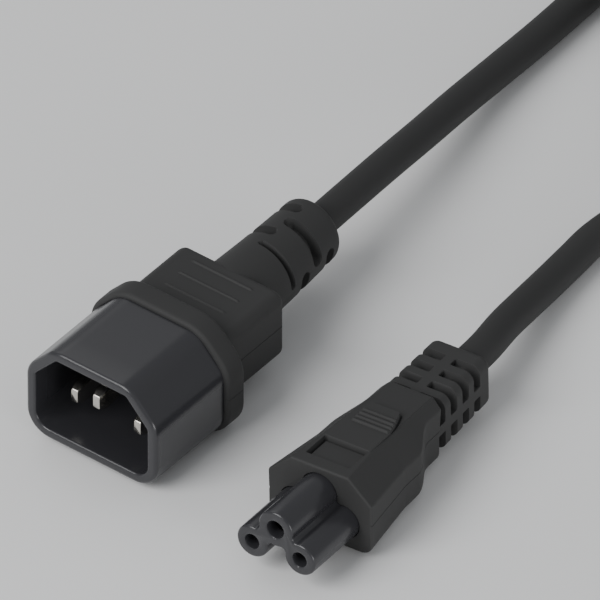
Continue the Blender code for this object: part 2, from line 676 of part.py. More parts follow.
def make_top_relief(body, parent):
    """The bare panel in front of the crease, and the level thumb pad with its ribs behind it."""
    top = BODY_HEIGHT / 2

    def panel(shape):
        corners = rectangle(PANEL_WIDTH, PANEL_DEPTH + OVERCUT, (0.0, top + (OVERCUT - PANEL_DEPTH) / 2))
        add_loft(shape, straight(corners, BODY_CREASE_AT - PANEL_LENGTH, BODY_CREASE_AT))

    combine(body, place("label_panel", solid_mesh("label_panel", panel), parent), "DIFFERENCE")

    def pad_height(y):
        return top - THUMB_SINK + THUMB_RISE * (y - BODY_CREASE_AT) / (THUMB_MIDDLE - BODY_CREASE_AT)

    def thumb(shape):
        plan = [
            (across * THUMB_WIDTH / 2, THUMB_MIDDLE + along * THUMB_LENGTH / 2)
            for across, along in circle(1.0, (0.0, 0.0), THUMB_STEPS)
        ]
        low = [shape.verts.new((x, y, top - OVERCUT)) for x, y in plan]
        high = [shape.verts.new((x, y, pad_height(y))) for x, y in plan]
        for i in range(len(plan)):
            j = (i + 1) % len(plan)
            shape.faces.new((low[i], low[j], high[j], high[i]))
        shape.faces.new(low[::-1])
        shape.faces.new(high)

    combine(body, place("thumb_pad", solid_mesh("thumb_pad", thumb), parent), "UNION")

    def ribs(shape):
        for number in range(RIB_COUNT):
            y = RIB_FIRST + number * RIB_PITCH
            middle = pad_height(y) + (RIB_HEIGHT - RIB_SINK) / 2
            bar = rectangle(RIB_LENGTH, RIB_HEIGHT + RIB_SINK, (0.0, middle))
            add_loft(shape, straight(bar, y - RIB_WIDTH / 2, y + RIB_WIDTH / 2))

    combine(body, place("thumb_ribs", solid_mesh("thumb_ribs", ribs), parent), "UNION")


def smooth_route(points):
    """Points at even distances on the smooth curve that passes through the route's points."""
    route = [Vector(point) for point in points]
    route = [2 * route[0] - route[1]] + route + [2 * route[-1] - route[-2]]
    dense = []
    for p0, p1, p2, p3 in zip(route, route[1:], route[2:], route[3:]):
        for step in range(CURVE_STEPS):
            t = step / CURVE_STEPS
            dense.append(
                0.5 * (2 * p1 + (p2 - p0) * t + (2 * p0 - 5 * p1 + 4 * p2 - p3) * t**2
                       + (3 * p1 - p0 - 3 * p2 + p3) * t**3)
            )
    dense.append(route[-2])
    lengths = [0.0]
    for a, b in zip(dense, dense[1:]):
        lengths.append(lengths[-1] + (b - a).length)
    count = max(2, round(lengths[-1] / (TUBE_POINT_EVERY * CORD_DIAMETER)))
    even = [dense[0]]
    for i in range(1, count):
        wanted = lengths[-1] * i / count
        j = next(k for k, length in enumerate(lengths) if length >= wanted)
        share = (wanted - lengths[j - 1]) / (lengths[j] - lengths[j - 1])
        even.append(dense[j - 1].lerp(dense[j], share))
    even.append(dense[-1])
    return even


def tube(name, points, finish):
    """A round cord along a route."""
    curve = bpy.data.curves.new(name, "CURVE")
    curve.dimensions = "3D"
    curve.bevel_depth = CORD_DIAMETER / 2 * MM
    curve.bevel_resolution = 3
    curve.use_fill_caps = True
    even = smooth_route(points)
    spline = curve.splines.new("POLY")
    spline.points.add(len(even) - 1)
    for point, place_of in zip(spline.points, even):
        point.co = (*(place_of * MM), 1.0)
    curve.materials.append(finish)
    made = bpy.data.objects.new(name, curve)
    bpy.context.scene.collection.objects.link(made)
    return made


def plug_side_route():
    """From the plug's relief, down to the floor, to the coil's left side."""
    turn_x = COIL_CENTRE[0] - COIL_OUTER + CORD_DIAMETER / 2
    short = math.sqrt(COIL_OUTER**2 - (COIL_OUTER - CORD_DIAMETER) ** 2) + GAP
    floor = CORD_DIAMETER / 2 + GAP / 2
    return [
        (-RELIEF_LEAN, RELIEF_REAR + CORD_SPACE, PLUG_AXIS),
        (-RELIEF_LEAN - CORD_SWING, RELIEF_REAR + CORD_SPACE + CORD_DIAMETER, PLUG_AXIS - CORD_SAG),
        *PLUG_CORD_WAY,
        (turn_x, COIL_CENTRE[1] - COIL_APPROACH, floor),
        (turn_x, COIL_CENTRE[1] - short, floor + COIL_BOTTOM / 2),
    ]


def connector_side_route():
    """From the coil's top layer, down to the floor, to the connector's relief."""
    frame = connector_frame()
    relief = frame @ Vector((0.0, CONNECTOR_REAR + CORD_SPACE, CORD_RISE))
    ahead = frame @ Vector((0.0, CONNECTOR_REAR + CORD_SPACE + CORD_DIAMETER, CORD_RISE + CORD_LIFT))
    angle = math.radians(COIL_EXIT_ANGLE)
    outward = Vector((math.cos(angle), math.sin(angle)))
    leaving = Vector((math.sin(angle), -math.cos(angle)))
    short = math.sqrt(COIL_OUTER**2 - (COIL_OUTER - CORD_DIAMETER) ** 2) + GAP
    start = Vector(COIL_CENTRE) + outward * (COIL_OUTER - CORD_DIAMETER / 2) + leaving * short
    return [
        tuple(relief),
        tuple(ahead),
        *CONNECTOR_CORD_WAY,
        (*(start + leaving * COIL_LEAD), COIL_TOP - CORD_DIAMETER / 2 - COIL_LEAD_DROP),
        (*start, COIL_TOP - CORD_DIAMETER / 2 - COIL_END_DROP),
    ]


def make_coil(finish):
    """The outer shape of the wound cord: a ring with rounded edges."""
    profile = outline(
        rectangle(COIL_WIDTH, COIL_TOP - COIL_BOTTOM, (COIL_RADIUS, (COIL_TOP + COIL_BOTTOM) / 2)),
        [COIL_EDGE_RADIUS] * 4,
    )

    def ring(shape):
        rows = []
        for number in range(COIL_SEGMENTS):
            angle = 2 * math.pi * number / COIL_SEGMENTS
            along, across = math.cos(angle), math.sin(angle)
            rows.append([shape.verts.new((r * along, r * across, z)) for r, z in profile])
        for number, row in enumerate(rows):
            ahead = rows[(number + 1) % COIL_SEGMENTS]
            for i in range(len(row)):
                j = (i + 1) % len(row)
                shape.faces.new((row[i], row[j], ahead[j], ahead[i]))

    made = place("cord_coil", solid_mesh("cord_coil", ring), None, finish)
    made.location = (COIL_CENTRE[0] * MM, COIL_CENTRE[1] * MM, 0.0)
    return made


def make_ties(finish):
    """Straps that run round the coil's section and hold its turns."""
    near_side = math.sqrt(COIL_INNER**2 - (TIE_WIDTH / 2) ** 2) - GAP
    far_side = COIL_OUTER + GAP
    centre = ((near_side + far_side) / 2, (COIL_TOP + GAP + TIE_THICKNESS) / 2)
    inner = rectangle(far_side - near_side, COIL_TOP + GAP - TIE_THICKNESS, centre)
    radii = [COIL_EDGE_RADIUS] * 4

    def strap(shape):
        hole = outline(inner, radii)
        edge = outline(inner, radii, -TIE_THICKNESS)
        rows = []
        for y, points in ((-1, hole), (-1, edge), (1, edge), (1, hole)):
            rows.append([shape.verts.new((x, y * TIE_WIDTH / 2, z)) for x, z in points])
        for near, far in zip(rows, rows[1:] + rows[:1]):
            for i in range(len(near)):
                j = (i + 1) % len(near)
                shape.faces.new((near[i], near[j], far[j], far[i]))

    for number, angle in enumerate(TIE_ANGLES, start=1):
        made = place(f"coil_tie_{number}", solid_mesh("coil_tie", strap), None, finish)
        made.location = (COIL_CENTRE[0] * MM, COIL_CENTRE[1] * MM, 0.0)
        made.rotation_euler = (0.0, 0.0, math.radians(angle))


def main():
    """Clear the scene and build the cord with both its ends."""
    for old in list(bpy.data.objects):
        bpy.data.objects.remove(old)
    rubbery = material("black_moulded_pvc", (0.022, 0.022, 0.024), 0.55)
    hard = material("black_hard_plastic", (0.03, 0.03, 0.032), 0.38)
    nickel = material("nickel_plate", (0.72, 0.70, 0.66), 0.25, 1.0)
    jacket = material("black_cord_jacket", (0.02, 0.02, 0.022), 0.5)
    webbing = material("black_tie", (0.03, 0.03, 0.03), 0.9)

    plug = empty("plug_place", Matrix.Identity(4))
    make_shroud(plug, hard)
    make_pins(plug, nickel)
    make_plug_body(plug, rubbery)

    connector = empty("connector_place", connector_frame())
    make_nose(connector, hard)
    make_contacts(connector, nickel)
    make_connector_body(connector, rubbery)

    tube("cord_plug_side", plug_side_route(), jacket)
    make_coil(jacket)
    make_ties(webbing)
    tube("cord_connector_side", connector_side_route(), jacket)


main()
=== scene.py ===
"""The looks of a cloverleaf power cord, built over its CAD frame.

The file is laid out as an add-on and is run as a script. The shape functions work in
millimetres, as on a drawing, and a mesh is turned into metres when it is made.
"""

import math

import bmesh
import bpy
import numpy as np
from bpy.props import FloatProperty, FloatVectorProperty, IntProperty, PointerProperty
from bpy.types import Operator, Panel, PropertyGroup
from mathutils import Matrix, Vector


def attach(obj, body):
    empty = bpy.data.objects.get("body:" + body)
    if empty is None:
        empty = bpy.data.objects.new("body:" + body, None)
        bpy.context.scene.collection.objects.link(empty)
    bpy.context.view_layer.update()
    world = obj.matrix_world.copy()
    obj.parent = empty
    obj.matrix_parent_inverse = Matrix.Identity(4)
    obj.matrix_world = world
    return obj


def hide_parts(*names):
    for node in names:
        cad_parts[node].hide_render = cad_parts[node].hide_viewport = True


bl_info = {
    "name": "Cloverleaf Power Cord",
    "version": (1, 0, 0),
    "blender": (4, 5, 0),
    "location": "View3D > Sidebar > Power Cord",
    "description": "Builds the plug, the connector and the wound cord of a mains lead",
    "category": "Object",
}

MM = 0.001
ARC_STEPS = 10
SEAM_WIDTH = 0.012
RELIEF_SEAT = 1.5
LAST_ROW_GAP = 0.05
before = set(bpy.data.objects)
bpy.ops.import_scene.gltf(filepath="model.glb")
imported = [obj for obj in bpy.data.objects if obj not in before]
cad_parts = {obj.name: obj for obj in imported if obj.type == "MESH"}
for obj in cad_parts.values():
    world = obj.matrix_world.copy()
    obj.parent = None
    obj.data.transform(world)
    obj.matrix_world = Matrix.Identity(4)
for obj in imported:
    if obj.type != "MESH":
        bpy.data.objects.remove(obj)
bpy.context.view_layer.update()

# Plug: the cup and its pins
CAVITY_WIDTH = 24.8
CAVITY_HEIGHT = 16.4
CAVITY_CHAMFER = (4.7, 5.1)
CAVITY_RADII = np.array([2.8, 2.8, 0.8, 0.8, 0.8, 0.8])
SHROUD_WALL = 2.1
SHROUD_SOFTNESS = np.array([1.0, 1.0, 2.0, 2.0, 2.0, 2.0])
SHROUD_FRONT = -20.7
SHROUD_REAR = 0.7
SHROUD_RIM_ROUNDS = (0.85, 0.5)
CAVITY_FLOOR = -3.9
CAVITY_FLOOR_FILLET = 1.0
PLUG_AXIS = 11.3
PIN_SIZE = (2.0, 4.0)
PIN_SPACING = 14.0
PIN_EARTH_RISE = 4.0
PIN_TIPS = {"pin_line": 4.3, "pin_neutral": 4.3, "pin_earth": 1.6}
PIN_REAR = -0.9
PIN_CHAMFER = (0.25, 0.6)
PIN_EDGE = 0.22
PIN_TIP_STEPS = (0.0, 0.06, 0.2, 1.3, 1.5, 1.8, 6.0)
PIN_TIP_SHARES = (1.25, 1.08, 0.95, 0.1, 0.02, 0.0, 0.0, 0.0)

# Plug: collar, grip and strain relief
COLLAR_RIM = 1.0
COLLAR_FRONT = -1.5
COLLAR_REAR = 3.5
COLLAR_RADII = np.array([6.5, 6.5, 7.5, 7.5, 7.5, 7.5])
COLLAR_ROUND = 0.95
COLLAR_FILLET = 1.1
COLLAR_POCKET = (1.2, 0.22, 0.6)
GRIP_WIDTH = 23.2
GRIP_HEIGHT = 14.4
GRIP_REAR = 19.7
GRIP_CHAMFER = 1.4
GRIP_RADII = np.array([2.4, 2.4, 1.8, 1.8, 1.8, 1.8])
GRIP_END_ROUND = 1.3
GRIP_ROW_STEP = 0.11
PLUG_SEAM = 0.5
RIDGE_LENGTH = 13.0
RIDGE_WIDTH = 0.5
RIDGE_PITCH = 3.9
RIDGE_COUNT = 3
RIDGE_FROM_REAR = 3.0
RELIEF_REAR = 44.1
RELIEF_DIAMETERS = (14.4, 12.7)
RELIEF_LEAN = 0.9
RELIEF_CORE = 8.8
RELIEF_END_ROUND = 1.7
RELIEF_SIDES = 300
SLOT_FIRST = 8.6
SLOT_PITCH = 3.9
SLOT_WIDTHS = (0.8, 2.0, 2.0, 2.0)
SLOT_ARC = 94.0
SLOT_FIRST_ANGLE = 48.0
SLOT_EDGE = 0.34

# Connector: its place, its body and its square-plated relief
CONNECTOR_PLACE = (43.5, -11.5, 7.9587)
CONNECTOR_TURN = 3.6
CONNECTOR_PITCH = 3.0448
CONNECTOR_ROLL = 3.2
BODY_WIDTH = 21.8
BODY_TOP = 7.5
BODY_REAR_TOP = 6.8
BODY_FOOT = -7.5
BODY_REAR_FOOT = -6.0
BODY_TOP_WIDTHS = (12.2, 10.4, 9.2)
BODY_FLANKS = (3.1, 5.1)
BODY_LENGTH = 28.2
BODY_REAR_WIDTH = 12.7
BODY_CREASE = 8.6
BODY_TAPER_END = 13.0
BODY_WAIST_WIDTH = 18.6
BODY_WAIST = (17.0, 24.6)
BODY_RADII = np.array([2.4, 2.4, 0.9, 0.6, 0.6, 0.9])
BODY_END_ROUNDS = (0.45, 0.6)
BODY_ROW_STEP = 0.115
BODY_SEAM = 0.52
PANEL_WIDTH = 9.0
PANEL_LENGTH = 5.8
PANEL_EDGE = 0.16
PANEL_GROOVE = 0.8
THUMB_WIDTH = 9.8
THUMB_REACH = 12.3
THUMB_DRAW = 0.024
THUMB_DRAW_FROM = 12.0
THUMB_SLOPE = 0.03
THUMB_EDGE = 0.14
THUMB_FOOT = 0.3
CREASE_STEP = 0.1
REAR_OVERHANG = 1.0
OVERHANG_FROM = (24.0, -1.0)
OVERHANG_RUN = (4.2, 8.0)
RIB_LENGTH = 7.6
RIB_MIDDLE = 0.8
RIB_PITCH = 1.1
RIB_WIDTH = 0.7
RIB_COUNT = 4
RIB_FIRST = 14.8
PLATE_FIRST_SIZE = (12.4, 10.8)
PLATE_LAST_SIZE = (12.2, 10.0)
PLATE_OFFSETS = ((-0.45, -0.15), (0.05, 0.25))
PLATE_TILT = math.tan(math.radians(5.0))
PLATE_LENGTH = 1.85
PLATE_SPACE = 1.65
FIRST_PLATE_SPACE = 2.4
PLATE_COUNT = 3
PLATE_RADIUS = 1.9
PLATE_ROW_STEP = 0.105
END_PLATE_LENGTH = 3.4
END_PLATE_ROUND = 1.2
CORE_SIZE = 7.6
CORE_RADIUS = 1.6
BRIDGE_WIDTH = 2.4
BRIDGE_EDGE = 0.3

# Connector: the cloverleaf nose
NOSE_LENGTH = 13.75
NOSE_SEAT = 4.0
LOBES = {
    "contact_line": ((-5.0, -2.0), 3.2, 1.4),
    "contact_neutral": ((5.0, -2.0), 3.2, 1.4),
    "contact_earth": ((0.0, 2.5), 3.6, 1.7),
}
NOSE_FILLET = 0.8
NOSE_ROUND = 0.55
NOSE_POCKET = (1.2, 0.16)
SOCKET_STEPS = (-1.0, 0.0, 0.14, 0.4, 2.5, 2.5, 12.8)
SOCKET_FLARE = (0.42, 0.32, 0.1, 0.0, 0.0, 0.5, 0.5)

# Cord: the way of its two free ends, then the coil that holds the rest
PLUG_CORD_WAY = [
    (-0.9, 41.5, 11.35), (-0.9, 44.7, 11.3), (-1.2, 50.9, 11.1), (-2.4, 66.0, 9.9),
    (-3.9, 79.0, 8.0), (-5.65, 92.0, 5.9), (-6.8, 105.0, 4.3), (-7.4, 118.0, 3.5),
    (-7.93, 130.0, 3.25), (-7.93, 141.4, 3.8),
]
CONNECTOR_CORD_WAY = [
    (45.0, 107.8, 6.2), (39.4, 99.5, 4.4), (35.6, 90.0, 3.4), (34.3, 80.0, 3.25),
    (34.8, 72.0, 3.3), (35.75, 64.0, 3.9), (36.95, 56.0, 5.0), (38.35, 48.0, 6.3),
]
CORD_STEP = 1.25
CORD_LOCAL_ENDS = [(0.0, 51.5, 2.15), (0.0, 45.1, 1.83), (0.0, 42.0, 1.6)]
COIL_CENTRE = (39.5, 166.0)
COIL_RADII = (47.43, 26.97)
COIL_HEIGHTS = (4.2, 10.4)
COIL_TURNS = 6.625
COIL_RISE_TURNS = 0.35
COIL_DIP = 0.6
COIL_LEAD = ((12.0, 10.1), (24.6, 9.1))
COIL_START = math.pi
TIE_ANGLES = (75.0, -105.0)
TIE_SPAN = (23.14, 50.83)
TIE_HEIGHTS = (0.8, 13.8)
TIE_THICKNESS = 0.8
TIE_WIDTH = 9.0
TIE_CORNER = 2.6
TIE_LENGTH = 84.0

# Camera: the point it looks at, its direction and the width of its view there, in metres
LOOK_AT = (0.00069, 0.03794, -0.0008)
CAMERA_AZIMUTH = 37.9
CAMERA_ELEVATION = 40.0
CAMERA_DISTANCE = 4.5
VIEW_WIDTH = 0.10578

# Studio: each lamp's place to the right of, beyond and above the lead, its size and its power
LAMP_AIM = (0.02, 0.03, 0.0)
LAMPS = {
    "key": ((-0.75, -0.5, 0.75), 0.8, 9.5),
    "behind": ((-0.4, 0.7, 0.8), 0.8, 1.2),
    "low_right": ((0.6, -0.8, 0.14), 0.5, 3.5),
}
SKY_COLOUR = (0.96, 0.98, 1.0, 1.0)
SKY_STRENGTH = 0.38
FLOOR_REACH = 3.0
FLOOR_DROP = 0.0001

# Finishes: roughness of the two plastics, how much paler a ridge's crest is painted as a highlight
# and how much smoother it is, and the rest
MOULDING_ROUGHNESS = 0.5
HARD_PLASTIC_ROUGHNESS = 0.56
RIDGE_PAINTED_HIGHLIGHT = 4.0
RIDGE_SMOOTHER = 0.7
GRAIN_ROUGHNESS = 0.55
PLASTIC_IOR = 1.5
TAPE_THREADS = 60.0


class LeadSizes(PropertyGroup):
    """Sizes that a user may change without touching the CAD shape."""

    cord_diameter: FloatProperty(
        name="Cord diameter",
        description="Outside diameter of the round jacket",
        default=0.0062, min=0.004, max=0.009, subtype="DISTANCE", unit="LENGTH",
    )
    ridge_height: FloatProperty(
        name="Ridge height",
        description="How far the three ridges stand up from the plug's grip",
        default=0.00026, min=0.0, max=0.001, subtype="DISTANCE", unit="LENGTH",
    )
    rib_height: FloatProperty(
        name="Rib height",
        description="How far the ribs stand up from the connector's thumb pad",
        default=0.0004, min=0.0, max=0.001, subtype="DISTANCE", unit="LENGTH",
    )
    panel_depth: FloatProperty(
        name="Panel depth",
        description="Depth of the bare panel on top of the connector",
        default=0.00065, min=0.0, max=0.001, subtype="DISTANCE", unit="LENGTH",
    )
    seam_depth: FloatProperty(
        name="Seam depth",
        description="Depth of the fine parting line along the flanks",
        default=0.00012, min=0.0, max=0.0004, subtype="DISTANCE", unit="LENGTH",
    )
    cord_sides: IntProperty(
        name="Cord sides",
        description="Faces round the cord's section",
        default=40, min=12, max=64,
    )


class LeadColours(PropertyGroup):
    """Colours of the lead's finishes."""

    moulding: FloatVectorProperty(
        name="Moulding",
        description="Colour of the soft moulded plug and connector bodies",
        default=(0.026, 0.026, 0.027), subtype="COLOR", min=0.0, max=1.0,
    )
    hard_plastic: FloatVectorProperty(
        name="Hard plastic",
        description="Colour of the cup and of the cloverleaf nose",
        default=(0.038, 0.038, 0.038), subtype="COLOR", min=0.0, max=1.0,
    )
    jacket: FloatVectorProperty(
        name="Jacket",
        description="Colour of the cord's jacket",
        default=(0.017, 0.017, 0.018), subtype="COLOR", min=0.0, max=1.0,
    )
    plating: FloatVectorProperty(
        name="Plating",
        description="Colour of the nickel plate on pins and contacts",
        default=(0.62, 0.6, 0.55), subtype="COLOR", min=0.0, max=1.0,
    )
    tape: FloatVectorProperty(
        name="Tape",
        description="Colour of the hook-and-loop tape round the coil",
        default=(0.02, 0.02, 0.021), subtype="COLOR", min=0.0, max=1.0,
    )
    floor: FloatVectorProperty(
        name="Floor",
        description="Colour of the plain floor",
        default=(0.9, 0.9, 0.9), subtype="COLOR", min=0.0, max=1.0,
    )


def unit(vectors):
    """Vectors divided by their lengths."""
    return vectors / np.linalg.norm(vectors, axis=-1, keepdims=True)


def corner_ways(corners):
    """Directions from each corner back and ahead, and the sine of half its angle."""
    back = unit(np.roll(corners, 1, axis=-2) - corners)
    ahead = unit(np.roll(corners, -1, axis=-2) - corners)
    half_sine = np.sqrt(np.clip((1 - (back * ahead).sum(-1)) / 2, 1e-9, 1.0))
    return back, ahead, half_sine


def shrunk(corners, depth):
    """The outline this far inside: a corner moves along its bisector by depth / sin(half angle)."""
    corners = np.asarray(corners, float)
    back, ahead, half_sine = corner_ways(corners)
    return corners + unit(back + ahead) * (depth / half_sine)[..., None]


def even_steps(count):
    """Evenly spread places between 0 and 1, without the ends."""
    return np.arange(1, count + 1) / (count + 1)


def seam_steps(count, place, width):
    """Even places between 0 and 1 with three more close together at a seam."""
    steps = even_steps(count)
    steps = steps[np.abs(steps - place) > 1.5 * width]
    return np.sort(np.concatenate([steps, [place - width, place, place + width]]))


def rounded(corners, radii, sides, arc=ARC_STEPS):
    """A closed outline: at each corner a circular arc tangent to both sides, then a straight side.

    The arc's centre lies on the bisector at radius / sin(half angle), and it sweeps pi minus the
    corner's angle. Corners may have a leading axis of rows, and so has the outline.
    """
    corners = np.asarray(corners, float)
    radii = np.broadcast_to(np.asarray(radii, float), corners.shape[:-1])
    back, ahead, half_sine = corner_ways(corners)
    half = np.arcsin(half_sine)
    reach = (radii / np.tan(half))[..., None]
    middle = corners + unit(back + ahead) * (radii / half_sine)[..., None]
    first, last = corners + back * reach, corners + ahead * reach
    start = np.arctan2(first[..., 1] - middle[..., 1], first[..., 0] - middle[..., 0])
    angles = start[..., None] + (math.pi - 2 * half)[..., None] * np.linspace(0, 1, arc)
    circle = np.stack([np.cos(angles), np.sin(angles)], axis=-1)
    arcs = middle[..., None, :] + radii[..., None, None] * circle
    onward = np.roll(first, -1, axis=-2) - last
    parts = []
    for number, steps in enumerate(sides):
        side = last[..., number, None, :] + onward[..., number, None, :] * steps[:, None]
        parts += [arcs[..., number, :, :], side]
    return np.concatenate(parts, axis=-2)


def quarter_round(radius, steps=6):
    """Pairs (distance from the face, depth inside the outline) of a rounded edge, face first."""
    turn = np.linspace(math.pi / 2, 0, steps)
    return radius * (1 - np.sin(turn)), radius * (1 - np.cos(turn))


def rings(y, outlines):
    """Outlines in X and Z set at their distances along Y."""
    along = np.broadcast_to(np.asarray(y, float)[:, None, None], (*outlines.shape[:2], 1))
    return np.concatenate([outlines[..., :1], along, outlines[..., 1:]], axis=-1)


def bar(values, middle, width, soft):
    """1 inside a bar of this width, 0 outside, with an S-shaped step of the given softness."""
    step = np.clip((width / 2 - np.abs(values - middle)) / soft + 0.5, 0, 1)
    return step * step * (3 - 2 * step)


def crown(values, middle, width):
    """A round-topped bar: the square root of 1 - (distance / half width) squared."""
    return np.sqrt(np.clip(1 - ((values - middle) / (width / 2)) ** 2, 0, 1))


def shell(points, closed=False):
    """Vertices, quads and caps of a skin over rings; closed joins the last ring to the first."""
    rows, columns = points.shape[:2]
    index = np.arange(rows * columns).reshape(rows, columns)
    near, far = (index, np.roll(index, -1, axis=0)) if closed else (index[:-1], index[1:])
    quads = np.stack([near, far, np.roll(far, -1, axis=1), np.roll(near, -1, axis=1)], axis=-1)
    caps = [] if closed else [index[0].tolist(), index[-1][::-1].tolist()]
    return points.reshape(-1, 3), quads.reshape(-1, 4).tolist(), caps


def grid_map(rows, columns, length, girth, closed_rows=False):
    """UV corners of a grid's quads, in millimetres over 100: along the rows, then round a ring."""
    count = rows if closed_rows else rows - 1
    along = np.arange(count)[:, None] * length / rows
    round_it = np.arange(columns)[None, :] * girth / columns
    along, round_it = np.broadcast_arrays(along, round_it)
    step, turn = length / rows, girth / columns
    corners = [(0, 0), (step, 0), (step, turn), (0, turn)]
    faces = [np.stack([along + a, round_it + b], axis=-1) for a, b in corners]
    return (np.stack(faces, axis=2) / 100).reshape(-1, 2)


def connector_matrix():
    """The connector's frame in millimetres: turned, tipped onto its underside and rolled."""
    turned = Matrix.Rotation(math.radians(CONNECTOR_TURN), 4, "Z")
    tipped = Matrix.Rotation(-math.radians(CONNECTOR_PITCH), 4, "X")
    rolled = Matrix.Rotation(-math.radians(CONNECTOR_ROLL), 4, "Y")
    return Matrix.Translation(CONNECTOR_PLACE) @ turned @ tipped @ rolled


def in_connector(points):
    """Points of the connector's own frame, carried into the shared frame."""
    matrix = np.array(connector_matrix())
    return points @ matrix[:3, :3].T + matrix[:3, 3]


def make_piece(name, shells, finish, slot, nodes=(), sharp=40.0, uv=None, painted_highlight_and_gloss=None):
    """Joins the shells into one mesh in metres, turns its faces outwards and hands it to the frame.

    The last argument is a share for each vertex: 1 on the ridges, whose colour is painted paler as
    a highlight and whose finish is smoother.
    """
    vertices, faces, start = [], [], 0
    for points, quads, caps in shells:
        vertices.append(points)
        faces += [[i + start for i in face] for face in quads + caps]
        start += len(points)
    mesh = bpy.data.meshes.new(name)
    mesh.from_pydata(np.concatenate(vertices) * MM, [], faces)
    if uv is not None:
        layer = mesh.uv_layers.new(name="UVMap")
        flat = np.zeros(len(mesh.loops) * 2)
        flat[: uv.size] = uv.ravel()
        layer.data.foreach_set("uv", flat)
    if painted_highlight_and_gloss is not None:
        shine = mesh.attributes.new("painted_highlight_and_gloss", "FLOAT", "POINT")
        shine.data.foreach_set("value", painted_highlight_and_gloss.ravel())
    shape = bmesh.new()
    shape.from_mesh(mesh)
    bmesh.ops.recalc_face_normals(shape, faces=shape.faces)
    shape.to_mesh(mesh)
    shape.free()
    mesh.shade_smooth()
    mesh.set_sharp_from_angle(angle=math.radians(sharp))
    mesh.materials.append(finish)
    made = bpy.data.objects.new(name, mesh)
    bpy.context.scene.collection.objects.link(made)
    if slot:
        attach(made, "root")
    if nodes:
        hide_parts(*nodes)
    return made


def cut_away(body, tools):
    """Takes the tools out of the body and keeps the result in its mesh."""
    for tool in tools:
        step = body.modifiers.new("cut", "BOOLEAN")
        step.operation, step.solver, step.object = "DIFFERENCE", "EXACT", tool
    graph = bpy.context.evaluated_depsgraph_get()
    mesh = bpy.data.meshes.new_from_object(body.evaluated_get(graph))
    body.modifiers.clear()
    body.data = mesh
    mesh.shade_smooth()
    mesh.set_sharp_from_angle(angle=math.radians(35))
    for tool in tools:
        bpy.data.objects.remove(tool)


class Finish:
    """A material in the making: its shader and the nodes that lead to it."""

    def __init__(self, name):
        self.material = bpy.data.materials.new(name)
        self.material.use_nodes = True
        self.tree = self.material.node_tree
        self.shader = self.tree.nodes["Principled BSDF"]
        coords = self.add("ShaderNodeTexCoord")
        self.place, self.map = coords.outputs["Object"], coords.outputs["UV"]

    def add(self, kind, links=(), **values):
        """A node with these values set and these links into its sockets."""
        node = self.tree.nodes.new(kind)
        for key, value in values.items():
            if key in node.inputs:
                node.inputs[key].default_value = value
            else:
                setattr(node, key, value)
        for socket, source in links:
            self.tree.links.new(source, node.inputs[socket])
        return node

    def link(self, socket, source):
        """Leads a value into the shader."""
        self.tree.links.new(source, self.shader.inputs[socket])

    def grain(self, place, scale, detail=3.0):
        """Noise in a piece's own metres."""
        look = {"Scale": scale, "Detail": detail, "Roughness": GRAIN_ROUGHNESS}
        return self.add("ShaderNodeTexNoise", [("Vector", place)], **look).outputs["Fac"]

    def drawn_out(self, place, scale):
        """Places scaled along each axis, which draws a grain out into lines."""
        return self.add("ShaderNodeMapping", [("Vector", place)], Scale=scale).outputs["Vector"]

    def between(self, source, low, high):
        """A value carried from 0..1 to low..high."""
        ends = {"To Min": low, "To Max": high}
        return self.add("ShaderNodeMapRange", [("Value", source)], **ends).outputs["Result"]

    def product(self, first, second):
        """Two values multiplied."""
        node = self.add("ShaderNodeMath", [(0, first), (1, second)], operation="MULTIPLY")
        return node.outputs[0]

    def tint(self, colour, source, spread):
        """A colour that wanders by this share round the given one."""
        ramp = self.add("ShaderNodeValToRGB", [("Fac", source)])
        for number, (position, share) in enumerate([(0.3, 1 - spread), (0.7, 1 + spread)]):
            ramp.color_ramp.elements[number].position = position
            ramp.color_ramp.elements[number].color = (*(c * share for c in colour), 1.0)
        return ramp.outputs["Color"]

    def bump(self, *layers):
        """Stacks bumps, each (height source, strength, distance in metres)."""
        under = []
        for source, strength, distance in layers:
            links = [("Height", source), *under]
            node = self.add("ShaderNodeBump", links, Strength=strength, Distance=distance)
            under = [("Normal", node.outputs["Normal"])]
        self.link(*under[0])


def moulded_finish(name, colour, roughness, spread, grain_depth):
    """Moulded plastic: a fine spark-eroded grain, faint flow clouds, and ridges painted paler as a
    highlight and made smoother.
    """
    made = Finish(name)
    fine = made.grain(made.place, 5200.0, 2.0)
    pores = made.grain(made.place, 1500.0, 4.0)
    clouds = made.grain(made.place, 90.0)
    # The ridges' share: there the colour is painted paler as a highlight on the crests, and the
    # roughness drops.
    ridge = made.add("ShaderNodeAttribute", attribute_name="painted_highlight_and_gloss").outputs["Fac"]
    plain = made.tint(colour, clouds, spread)
    pale = (*(RIDGE_PAINTED_HIGHLIGHT * c for c in colour), 1.0)
    mixed = made.add("ShaderNodeMixRGB", [("Fac", ridge), ("Color1", plain)], Color2=pale)
    made.link("Base Color", mixed.outputs["Color"])
    dull = made.between(made.product(clouds, pores), roughness - 0.08, roughness + 0.12)
    made.link("Roughness", made.product(dull, made.between(ridge, 1.0, RIDGE_SMOOTHER)))
    small, tiny = 0.00003 * grain_depth, 0.00001 * grain_depth
    made.bump((clouds, 0.25, 0.00012), (pores, 0.5, small), (fine, 0.6, tiny))
    made.shader.inputs["IOR"].default_value = PLASTIC_IOR
    return made.material


def plated_finish(name, colour):
    """Nickel plate: brushed along the pin, with faint wiping marks."""
    made = Finish(name)
    lines = made.grain(made.drawn_out(made.place, (1.0, 0.06, 1.0)), 6000.0)
    marks = made.grain(made.place, 420.0)
    made.link("Base Color", made.tint(colour, marks, 0.10))
    made.link("Roughness", made.between(marks, 0.12, 0.26))
    made.bump((lines, 0.2, 0.00001))
    made.shader.inputs["Metallic"].default_value = 1.0
    return made.material


